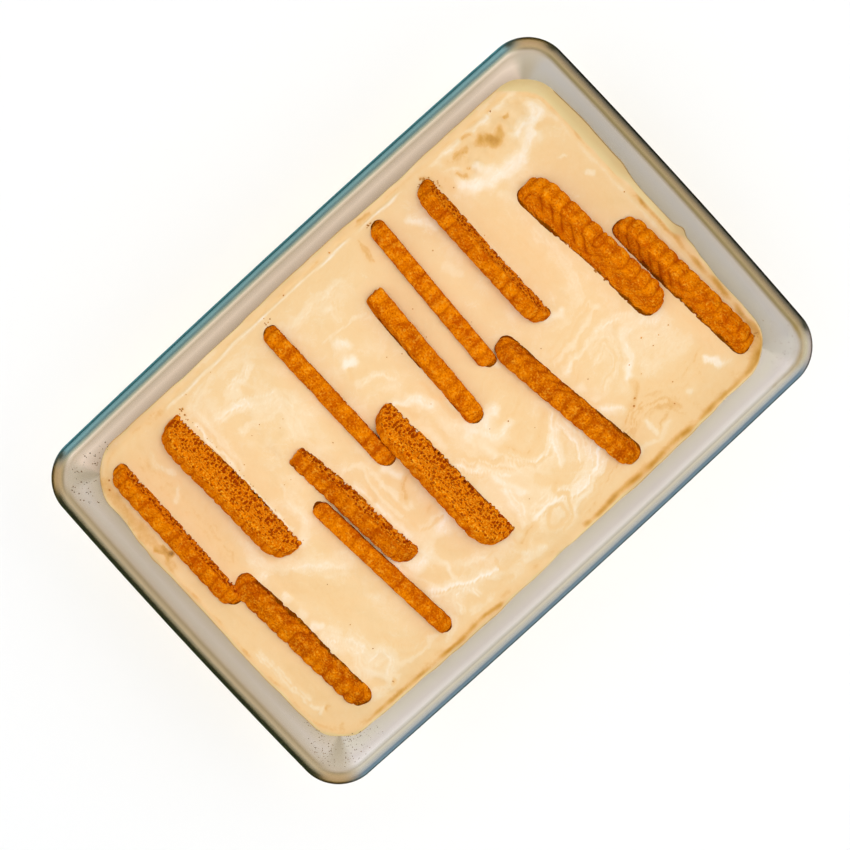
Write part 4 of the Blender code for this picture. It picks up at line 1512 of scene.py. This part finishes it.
    Smear(((-45, 50.8), (-40, 52), (-35.6, 53)), 1.56, 0.96, 0.8),
    Smear(((-48, 50), (-43.4, 48.8)), 1.35, 0.69, 0.4),
    Smear(((-54, 47), (-46, 45.4), (-40.6, 41.4), (-36, 40)), 2.5, 0.85, 0.7),
    Smear(((-42, 38), (-35, 35), (-37.6, 25)), 4.2, 0.5, 0.3),
    Smear(((-52, 38.4), (-47, 37)), 1.6, 0.5, 0.4),
    Smear(((-56, 57), (-45, 59.4), (-33, 57)), 3, 0.4, 0.3),
    Smear(((-57.4, 9), (-56.4, 4), (-57.8, 0), (-59.6, -2)), 1.86, 0.72, 0.2),
    Smear(((-57, 12), (-54, 16)), 0.52, 0.48),
    Smear(((-84, 56), (-83.4, 40), (-83, 20), (-84, 10)), 5, -0.8, 0.15),
    Smear(((-79.6, 57), (-81, 50), (-79, 43)), 1.3, 0.2, 0.5),
    Smear(((-70, 60), (-76, 58), (-79, 52)), 0.65, -0.78),
    Smear(((-73.6, 61.6), (-67.6, 61.2)), 1.43, -1.2),
    Smear(((-79.6, 45.4), (-79, 44.8)), 1.18, 0.76),
    Smear(((-86, 35.4), (-81, 38.6)), 0.8, 0.4),
    Smear(((-99.4, 59), (-99.4, 45), (-100.4, 31)), 2.2, -1.25, 0.3),
    Smear(((-100.2, 28.2), (-99.2, 25.4), (-97.8, 23.6)), 1.2, -3.5),
    Smear(((-97.8, 27.2), (-99.4, 25.2), (-100.4, 23.4)), 1.1, -2.8),
    Smear(((-97, 14), (-97, 2)), 2, -0.2, 0.2),
    Smear(((-33, 4.4), (-30, 3), (-28.4, 0)), 0.52, 0.64),
    Smear(((-96.6, -59.4), (-94.8, -58)), 1.3, -1.2),
    Smear(((-72.6, -59.4), (-71.6, -59)), 0.91, -1.2),
    Smear(((50.4, 60.6), (52.8, 58), (53.8, 53.4)), 0.9, -1.7),
    Smear(((54.6, 59), (56, 52)), 3.0, -0.75),
    Smear(((25.4, 63.6), (28.6, 63.4)), 1.0, -1.6),
    Smear(((-78, 60), (-74, 50)), 5.0, -0.5),
    Smear(((93, -49), (88, -59), (66, -59)), 3.4, -0.7),
)


@dataclass(frozen=True)
class Border:
    """A band along one wall: its distance from the wall, half width, tone, and where it runs.

    side is the wall that it follows, as X and Y; run is from where to where it goes along it.
    """

    side: tuple[int, int]
    away: float
    reach: float
    tone: float
    run: tuple[float, float]
    rise: float = 0.0


BORDERS = (
    Border((0, 1), 2.2, 0.8, -1.0, (-100, 90)),
    Border((0, 1), 5.2, 0.9, -0.4, (-90, 40)),
    Border((0, 1), 3.8, 0.5, 1.5, (-64, 40), 0.3),
    Border((0, -1), 2.4, 1.6, -1.0, (-100, 104)),
    Border((0, -1), 1.2, 0.75, -2.2, (-86, -28)),
    Border((0, -1), 1.3, 1.0, -2.2, (14, 100)),
    Border((1, 0), 2.3, 1.3, -2.1, (-60, 8)),
    Border((1, 0), 3.2, 0.7, -1.2, (8, 58)),
    Border((1, 0), 4.8, 0.8, 0.4, (-32, 60), 0.1),
    Border((-1, 0), 1.3, 0.7, -1.2, (-58, 22)),
    Border((-1, 0), 3.0, 1.9, -1.3, (20, 56)),
)


@dataclass
class Cream:
    """The set cream, its marbling and the film that it left on the wall."""

    plan: DishPlan = PLAN
    pace: float = 0.6
    reach: float = 0.15
    climb: float = 0.9
    stands: tuple[Stand, ...] = STANDS
    smears: tuple[Smear, ...] = SMEARS
    borders: tuple[Border, ...] = BORDERS

    @property
    def brim(self) -> Level:
        """Return the level of the cream's edge, which reaches just into the glass."""
        level = self.plan.inner_at(CREAM_LEVEL)
        return Level(level.inset - self.reach, level.corner + self.reach, CREAM_LEVEL)

    def samples(self, half: float) -> np.ndarray:
        """Return shares from -1 to 1, closer together near both ends."""
        inner = half - 3.0
        count = math.ceil(2 * inner / self.pace)
        middle = np.linspace(-inner, inner, count + 1)
        edge = half - np.array([2.5, 2.05, 1.65, 1.3, 1.0, 0.75, 0.5, 0.3, 0.15, 0.05, 0.0])
        return np.concatenate([-edge[::-1], middle, edge]) / half

    def reach_x(self, level: Level, y: np.ndarray) -> np.ndarray:
        """Return how far a level reaches along X at a place along Y, before its sides bow out."""
        long_half, short_half, corner = self.plan.halves(level)
        over = np.clip(np.abs(y) - (short_half - corner), 0, corner)
        return long_half - corner + np.sqrt(corner**2 - over**2)

    def to_wall(self, x: np.ndarray, y: np.ndarray) -> np.ndarray:
        """Return each place's distance to the wall, before the sides bow out."""
        long_half, short_half, corner = self.plan.halves(self.brim)
        over_x = np.abs(x) - (long_half - corner)
        over_y = np.abs(y) - (short_half - corner)
        outside = np.hypot(np.maximum(over_x, 0), np.maximum(over_y, 0))
        return corner - outside - np.minimum(np.maximum(over_x, over_y), 0)

    def clinging(self, x: np.ndarray, y: np.ndarray) -> np.ndarray:
        """Return how high the cream climbs at each place because of the biscuits."""
        climb = np.zeros(x.shape)
        for stand in self.stands:
            turn = np.array(stand.matrix().inverted())
            flat = np.stack([x * MM, y * MM, np.full_like(x, CREAM_LEVEL * MM), np.ones_like(x)])
            local = np.tensordot(turn, flat, axes=1)
            past = np.maximum(np.abs(local[0]) - 30.0, 0)
            beside = np.maximum(np.abs(local[1]) - 3.0, 0)
            climb = np.maximum(climb, stand.lip * np.exp(-np.hypot(past, beside) / 0.8))
        return climb

    def marbled(self, x: np.ndarray, y: np.ndarray, wall: np.ndarray) -> tuple[np.ndarray, np.ndarray]:
        """Lay every smear and border.

        Args:
            x: The places' X, in millimetres.
            y: The places' Y, in millimetres.
            wall: Their distance to the wall.

        Returns:
            The tones, and how much the borders raise the cream.
        """
        tone = 0.20 * Ripples(21, 12.0).at(x, y) + 0.10 * Ripples(22, 4.0).at(x, y)
        warp_x = x + 0.55 * Ripples(3, 7.0).at(x, y) + 0.22 * Ripples(5, 2.6).at(x, y)
        warp_y = y + 0.55 * Ripples(4, 7.0).at(x, y) + 0.22 * Ripples(6, 2.6).at(x, y)
        for smear in self.smears:
            smear.cover(tone, warp_x, warp_y)
        raised = np.zeros_like(x)
        long_half, short_half, _ = self.plan.halves(self.brim)
        for index, border in enumerate(self.borders):
            along, out, half = (x, y * border.side[1], short_half) if border.side[1] else (y, x * border.side[0], long_half)
            waver = Ripples(40 + index, 14.0, 9).at(along, along * 0)
            patch = 0.74 + 0.26 * Ripples(60 + index, 9.0, 9).at(along, along * 0)
            band = np.exp(-(((wall - border.away - 0.35 * waver) / border.reach) ** 2))
            band = band * smooth(out, half - 16, half - 9) * np.clip(patch, 0.15, 1)
            band = band * smooth(along, border.run[0] - 4, border.run[0]) * smooth(-along, -border.run[1] - 4, -border.run[1])
            tone += band * (border.tone - tone)
            raised += band * border.rise
        return tone, raised

    def film(self, x: np.ndarray, y: np.ndarray, wall: np.ndarray) -> np.ndarray:
        """Return how much of each place is the thin pale film up the glass, which is wider at +X."""
        east = smooth(x, 88, 96)
        wide = east * (2.3 * smooth(y, 6, 18) + 1.4 * smooth(y, -16, -10) * smooth(-y, -14, -6))
        reach = 0.5 + wide + 0.15 * Ripples(14, 8.0).at(x, y)
        return smooth(reach - wall, -0.3, 0.4) * 0.9

    def climbed(self, x: np.ndarray, y: np.ndarray) -> np.ndarray:
        """Return how high the cream's film stands up the wall at each place, in millimetres."""
        east, west = smooth(x, 88, 96), smooth(-x, 88, 96)
        high = 1.1 + 0.5 * Ripples(15, 14.0).at(x, y)
        high = high + east * (3.8 * smooth(y, 8, 20) + 3.4 * np.exp(-(((y + 12) / 2.2) ** 2)) - 1.6 * smooth(-y, 18, 24))
        high = high + west * (1.6 * np.exp(-(((y - 27) / 2.5) ** 2)) - 1.6 * smooth(y, 34, 42))
        return high + (1.0 - east) * (1.0 - west) * 0.9 * np.cos(x * 0.075) * np.sign(y)

    def heights(self, x: np.ndarray, y: np.ndarray, wall: np.ndarray, tone: np.ndarray) -> np.ndarray:
        """Return the height of the cream's top at each place, in millimetres."""
        swell = 0.6 * np.sin(x * 0.083 + y * 0.117 + 1.1) + 0.5 * np.sin(x * 0.083 - y * 0.117 + 1.5)
        swell += 0.4 * np.sin(x * 0.19 - y * 0.13)
        height = CREAM_LEVEL + 0.45 * swell
        height = height + 0.10 * Ripples(11, 9.0).at(x, y) + 0.03 * Ripples(12, 2.6).at(x, y)
        foam = np.exp(-(((x - 77) / 19) ** 2 + ((y - 53) / 9) ** 2))
        height = height + foam * (0.8 + 0.25 * Ripples(13, 4.0).at(x, y)) + 0.11 * np.clip(tone, -1.0, 1.4)
        return height + self.climbed(x, y) * np.exp(-wall / self.climb) + self.clinging(x, y)

    def leaned(
        self, x: np.ndarray, y: np.ndarray, wall: np.ndarray, height: np.ndarray
    ) -> tuple[np.ndarray, np.ndarray]:
        """Move the cream's edge out with the slanting wall, as high as it stands.

        Args:
            x: The places' X, in millimetres.
            y: The places' Y, in millimetres.
            wall: Their distance to the wall.
            height: Their height.

        Returns:
            The places' new X and Y.
        """
        long_half, short_half, corner = self.plan.halves(self.brim)
        over_x = np.maximum(np.abs(x) - (long_half - corner), 0) * np.sign(x)
        over_y = np.maximum(np.abs(y) - (short_half - corner), 0) * np.sign(y)
        far = np.maximum(np.hypot(over_x, over_y), 1e-6)
        higher = self.plan.inner_at(CREAM_LEVEL + 1.0).inset - self.plan.inner_at(CREAM_LEVEL).inset
        out = (height - CREAM_LEVEL) * -higher * smooth(2.5 - wall, 0.0, 2.5)
        return x + out * over_x / far, y + out * over_y / far

    def top(self, x: np.ndarray, y: np.ndarray) -> np.ndarray:
        """Return the height of the cream's top at any places, without its borders."""
        wall = self.to_wall(x, y)
        return self.heights(x, y, wall, np.zeros_like(x))

    def build(self, cream: bpy.types.Material) -> bpy.types.Object:
        """Build the cream from its marbled top down to the dish's floor.

        Args:
            cream: The cream material.

        Returns:
            The piece.
        """
        top = self.brim
        long_half, short_half, _ = self.plan.halves(top)
        grid_u, grid_v = np.meshgrid(self.samples(long_half), self.samples(short_half), indexing="ij")
        flat_y = grid_v * short_half
        flat_x = grid_u * self.reach_x(top, flat_y)
        x, y = self.plan.bowed(top, flat_x, flat_y)
        wall = self.to_wall(flat_x, flat_y)
        tone, raised = self.marbled(x, y, wall)
        height = self.heights(x, y, wall, tone) + raised
        x, y = self.leaned(x, y, wall, height)
        places = np.stack([x, y, height], -1).reshape(-1, 3)
        count_u, count_v = grid_u.shape
        first = (np.arange(count_u - 1)[:, None] * count_v + np.arange(count_v - 1)).ravel()
        faces = np.stack([first, first + count_v, first + count_v + 1, first + 1], 1).tolist()
        border = [i * count_v for i in range(count_u)]
        border += [(count_u - 1) * count_v + j for j in range(1, count_v)]
        border += [i * count_v + count_v - 1 for i in range(count_u - 2, -1, -1)]
        border += list(range(count_v - 2, 0, -1))
        places, faces = self.skirt(places, faces, np.array(border), grid_u.ravel(), grid_v.ravel())
        piece = new_piece("marbled_cream", places * MM, faces, cream)
        for title, values in (("tone", tone), ("film", self.film(x, y, wall))):
            full = np.zeros(len(places))
            full[: values.size] = values.ravel()
            keep_layer(piece, title, full)
        return piece

    def skirt(
        self, places: np.ndarray, faces: list, border: np.ndarray, share_u: np.ndarray, share_v: np.ndarray
    ) -> tuple[np.ndarray, list]:
        """Close the cream below its top, just inside the glass.

        Args:
            places: The top's points.
            faces: The top's faces.
            border: Numbers of the points round the top's edge.
            share_u: Every top point's share of the length.
            share_v: Every top point's share of the width.

        Returns:
            All points and all faces.
        """
        levels = [self.plan.inner_at(height) for height in (31.0, 22, 12, 9.6, 8.2, 6.8, 5.8, 5.3)]
        levels.append(Level(22.5, 10.0, 4.85))
        rings = [places[border]]
        for level in levels:
            wide = Level(level.inset - self.reach, level.corner + self.reach, level.height)
            _, short_half, _ = self.plan.halves(wide)
            flat_y = share_v[border] * short_half
            flat_x = share_u[border] * self.reach_x(wide, flat_y)
            x, y = self.plan.bowed(wide, flat_x, flat_y)
            rings.append(np.column_stack([x, y, np.full(len(x), level.height)]))
        start = len(places)
        around = len(border)
        out = np.vstack([places, *rings[1:], [[0, 0, levels[-1].height]]])
        rows = [border.tolist()]
        rows += [list(range(start + k * around, start + (k + 1) * around)) for k in range(len(levels))]
        for upper, lower in zip(rows, rows[1:]):
            for step in range(around):
                after = (step + 1) % around
                faces.append((upper[step], lower[step], lower[after], upper[after]))
        hub = len(out) - 1
        for step in range(around):
            faces.append((hub, rows[-1][(step + 1) % around], rows[-1][step]))
        return out, faces


# ---------------------------------------------------------------- crumbs


@dataclass(frozen=True)
class Cluster:
    """A group of crumbs on the cream: its middle, its spread, how many there are and how large, in mm."""

    x: float
    y: float
    spread_x: float
    spread_y: float
    count: int
    small: float
    large: float


CLUSTERS = (
    Cluster(72.2, 15.0, 0.2, 3.5, 10, 0.5, 1.1),
    Cluster(73.2, 3.0, 0.2, 5.0, 14, 0.5, 1.1),
    Cluster(85.6, -12.5, 0.3, 3.0, 6, 0.3, 0.6),
    Cluster(50.6, 59.2, 1.5, 0.6, 9, 0.5, 1.2),
    Cluster(53.4, 56.0, 0.35, 1.6, 6, 0.4, 0.9),
    Cluster(-63.0, 55.4, 0.7, 1.3, 8, 0.4, 1.1),
    Cluster(-62.2, 45.0, 0.15, 5.0, 10, 0.25, 0.5),
    Cluster(-61.9, 16.0, 0.15, 9.0, 10, 0.2, 0.45),
    Cluster(-21.6, 59.4, 0.8, 0.4, 5, 0.4, 0.8),
    Cluster(27.0, 60.6, 1.1, 0.3, 6, 0.4, 0.8),
    Cluster(-98.7, 54.0, 0.1, 0.1, 1, 0.8, 0.9),
    Cluster(-96.5, 56.4, 0.1, 0.1, 1, 0.7, 0.8),
    Cluster(-72.2, -59.2, 0.3, 0.2, 2, 0.4, 0.6),
    Cluster(51.8, -45.4, 0.05, 0.05, 1, 0.75, 0.8),
    Cluster(53.7, -43.6, 0.05, 0.05, 1, 0.7, 0.75),
    Cluster(98.0, -55.0, 1.0, 1.4, 6, 0.3, 0.7),
    Cluster(77.0, 53.0, 2.0, 1.0, 4, 0.2, 0.4),
)

DOTS = (
    (60, -34, 0.6), (69.3, -30, 0.7), (70.5, -34.7, 0.5), (74.3, -33.2, 0.55), (79, -33, 0.6), (16.8, -20.3, 0.6),
    (10.4, -18, 0.4), (22, -28, 0.4), (46.4, -28, 0.45), (98.4, 10.5, 0.6), (37, 39.7, 0.5), (18.6, 29.7, 0.5),
    (1, 23.6, 0.45), (1.4, 1.8, 0.4), (4.2, -44.6, 0.4), (41.6, -9.6, 0.4), (61, -39, 0.4), (67, -48.2, 0.5),
    (62.6, -54.2, 0.6), (30.3, 13, 0.35), (53.4, 31.6, 0.5), (-46.2, 36, 0.5), (-59.2, 29.4, 0.4), (-32, 14.6, 0.45),
    (-69.6, -35, 0.45), (-69.4, -46.2, 0.5), (-53.8, 15.2, 0.4), (-51, 15, 0.45), (-50.6, 35, 0.35), (-39, 32, 0.3),
    (-81.6, -12.2, 0.4), (15.6, 19.6, 0.35), (-41.8, 30.4, 0.3), (-66, -19.6, 0.3), (83, 61.2, 0.7), (56.6, 50.6, 0.5),
    (5.6, 21, 0.4), (-20.8, 61.4, 0.5), (-10.6, 62.6, 0.6), (10.6, 62.8, 0.7), (-57.6, 60.2, 0.4), (-46.4, 60.2, 0.35),
)


@dataclass
class Scatter:
    """The loose crumbs on the cream and the specks baked on the glass."""

    cream: Cream
    seed: int = 5

    def tree(self, faces: int) -> Relief:
        """Make the tree that puts a rough grain on every point.

        Args:
            faces: How many times a grain's faces are split.

        Returns:
            The tree.
        """
        tree = Relief(f"grains_{faces}", {"Size": 1.0, "Height": 0.7, "Roughness": 0.5}, {"Seed": 1})
        ball = tree.add("GeometryNodeMeshIcoSphere", {"Radius": 0.5, "Subdivisions": faces})
        draw = {"Min": (-0.6, -0.6, 0.0), "Max": (0.6, 0.6, 6.28), "Seed": tree.given("Seed")}
        turn = tree.out(tree.add("FunctionNodeRandomValue", draw, data_type="FLOAT_VECTOR"))
        size = tree.layer("size") * tree.given("Size")
        sockets = {
            "Points": tree.given("Geometry"),
            "Instance": tree.out(ball, "Mesh"),
            "Rotation": turn,
            "Scale": tree.join(size, size * 0.8, size * tree.given("Height")),
        }
        grains = tree.out(tree.add("GeometryNodeInstanceOnPoints", sockets))
        real = tree.out(tree.add("GeometryNodeRealizeInstances", {"Geometry": grains}))
        position = tree.out(tree.add("GeometryNodeInputPosition"))
        normal = tree.out(tree.add("GeometryNodeInputNormal"))
        push = (tree.noise(position, 1.9, 2.0) - 0.5) * tree.given("Roughness")
        move = tree.scaled(normal, push)
        tree.finish(tree.out(tree.add("GeometryNodeSetPosition", {"Geometry": real, "Offset": move})))
        return tree

    def place(self, name: str, places: np.ndarray, sizes: np.ndarray, faces: int, material: bpy.types.Material):
        """Put a grain on each place.

        Args:
            name: The piece's name.
            places: The places, in millimetres.
            sizes: The grains' sizes, in millimetres.
            faces: How many times a grain's faces are split.
            material: What the grains wear.

        Returns:
            The piece.
        """
        mesh = bpy.data.meshes.new(name)
        mesh.from_pydata(places.tolist(), [], [])
        piece = bpy.data.objects.new(name, mesh)
        bpy.context.scene.collection.objects.link(piece)
        keep_layer(piece, "size", sizes)
        self.tree(faces).apply(piece, material, seed=self.seed, roughness=float(sizes.mean()) * 0.6)
        piece.data.transform(Matrix.Scale(MM, 4))
        piece.data.shade_smooth()
        return piece

    def crumbs(self, crumb: bpy.types.Material) -> bpy.types.Object:
        """Scatter the crumbs on the cream, in their clusters and as single dots."""
        draw = np.random.default_rng(self.seed)
        x, y, size = [np.array(column, dtype=float) for column in zip(*DOTS)]
        for group in CLUSTERS:
            x = np.append(x, draw.normal(group.x, group.spread_x, group.count))
            y = np.append(y, draw.normal(group.y, group.spread_y, group.count))
            size = np.append(size, draw.uniform(group.small, group.large, group.count))
        z = self.cream.top(x, y) + size * 0.10
        return self.place("loose_crumbs", np.column_stack([x, y, z]), size, 2, crumb)

    def specks(self, speck: bpy.types.Material) -> bpy.types.Object:
        """Scatter the specks on the inner wall, mostly at two corners."""
        draw = np.random.default_rng(self.seed + 1)
        places, sizes = [], []
        for sign_x, sign_y, count, large in ((-1, -1, 180, 0.55), (-1, 1, 76, 0.7), (1, -1, 44, 0.5), (1, 1, 6, 0.4)):
            for _ in range(count):
                height = draw.uniform(35.5, 52.0)
                level = PLAN.inner_at(height)
                long_half, short_half, corner = PLAN.halves(level)
                angle = draw.normal(math.pi / 4, 0.42)
                slide = draw.normal(0, 2.5)
                x = long_half - corner + corner * math.cos(angle) - abs(slide) * (angle > math.pi / 4)
                y = short_half - corner + corner * math.sin(angle) - abs(slide) * (angle <= math.pi / 4)
                place_x, place_y = PLAN.bowed(level, np.array([x]), np.array([y]))
                places.append((sign_x * place_x[0], sign_y * place_y[0], height))
                sizes.append(draw.uniform(0.14, large) ** 1.2)
        return self.place("baked_specks", np.array(places), np.array(sizes), 1, speck)


# ---------------------------------------------------------------- studio


@dataclass(frozen=True)
class Studio:
    """A pale floor, soft lights and the photograph's view."""

    aim: tuple[float, float, float] = (-0.0049, -0.0014, 0.053)
    distance: float = 0.8
    tilt_x: float = -1.56
    tilt_y: float = -1.27
    roll: float = -42.51
    lens: float = 102.3

    def floor(self) -> None:
        """Lay the floor."""
        finish = Finish("pale_floor")
        tone = finish.noise(finish.here(), 3.0, detail=2.0)
        finish.set(base_color=finish.blend(tone, (0.93, 0.93, 0.93), (0.95, 0.95, 0.95)), roughness=0.6)
        finish.set(specular_ior_level=0.2)
        bpy.ops.mesh.primitive_plane_add(size=6.0)
        floor = bpy.context.object
        floor.name = "floor"
        floor.data.materials.append(finish.material)

    def light(self, name: str, place: tuple, size: float, power: float, colour: Colour) -> None:
        """Hang one soft area light that looks at the dish."""
        lamp = bpy.data.lights.new(name, "AREA")
        lamp.shape = "SQUARE"
        lamp.size = size
        lamp.energy = power
        lamp.color = colour
        item = bpy.data.objects.new(name, lamp)
        item.location = place
        item.rotation_euler = (Vector(self.aim) - Vector(place)).to_track_quat("-Z", "Y").to_euler()
        bpy.context.scene.collection.objects.link(item)

    def camera(self) -> None:
        """Set the camera where the photograph was taken from."""
        lens = bpy.data.cameras.new("photo_view")
        lens.sensor_width = 36.0
        lens.lens = self.lens
        camera = bpy.data.objects.new("photo_view", lens)
        turn = (
            Matrix.Rotation(math.radians(self.roll), 3, "Z")
            @ Matrix.Rotation(math.radians(self.tilt_y), 3, "Y")
            @ Matrix.Rotation(math.radians(self.tilt_x), 3, "X")
        )
        camera.location = Vector(self.aim) + turn @ Vector((0, 0, self.distance))
        camera.rotation_euler = turn.to_euler()
        bpy.context.scene.collection.objects.link(camera)
        bpy.context.scene.camera = camera

    def build(self) -> None:
        """Build the studio."""
        scene = bpy.context.scene
        scene.view_settings.view_transform = "Standard"
        world = bpy.data.worlds.new("studio")
        world.use_nodes = True
        world.node_tree.nodes["Background"].inputs["Color"].default_value = (0.96, 0.98, 1.0, 1.0)
        world.node_tree.nodes["Background"].inputs["Strength"].default_value = 0.56
        scene.world = world
        self.floor()
        self.light("top", (0.06, -0.03, 1.3), 0.8, 7.9, (1.0, 0.985, 0.96))
        self.light("right", (0.7, -0.4, 1.1), 1.0, 1.9, (1.0, 0.98, 0.95))
        self.light("left", (-0.7, 0.5, 1.1), 1.0, 1.9, (0.93, 0.96, 1.0))
        self.camera()


def fit(piece: bpy.types.Object, slot: Slot, *nodes: str) -> None:
    """Ride a piece on the dish's body, hide the CAD nodes that it stands for and log its triangles.

    Args:
        piece: The finished piece.
        slot: The material slot that it stands for; not used.
        *nodes: The CAD nodes that it stands for.
    """
    if nodes:
        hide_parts(*nodes)
    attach(piece, BODY)
    piece.data.calc_loop_triangles()
    LOG.info("%s: %d triangles", piece.name, len(piece.data.loop_triangles))


def main() -> None:
    """Build the studio and every piece, in order."""
    logging.basicConfig(level=logging.INFO, format="%(message)s")
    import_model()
    for item in list(bpy.data.objects):
        if item.type in ("CAMERA", "LIGHT") or item.name == "Cube":
            bpy.data.objects.remove(item, do_unlink=True)
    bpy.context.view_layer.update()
    Studio().build()
    grain = crumb_grain()
    fit(Dish().build(PressedGlass().material()), Slot.GLASS, "dish")
    cream = Cream()
    fit(cream.build(SetCream().material()), Slot.CREAM, "cream")
    crust = CaramelCrust().material(grain)
    mould = BiscuitMould()
    for number, stand in enumerate(STANDS, start=1):
        fit(mould.build(number, stand, crust), Slot.CRUST, f"biscuit_{number:02d}")
    scatter = Scatter(cream)
    fit(scatter.crumbs(Crumb().material(grain)), Slot.CRUST)
    fit(scatter.specks(Crumb("baked_speck", linear(120, 84, 40), linear(62, 42, 20)).material(grain)), Slot.CRUST)


if __name__ == "__main__":
    main()
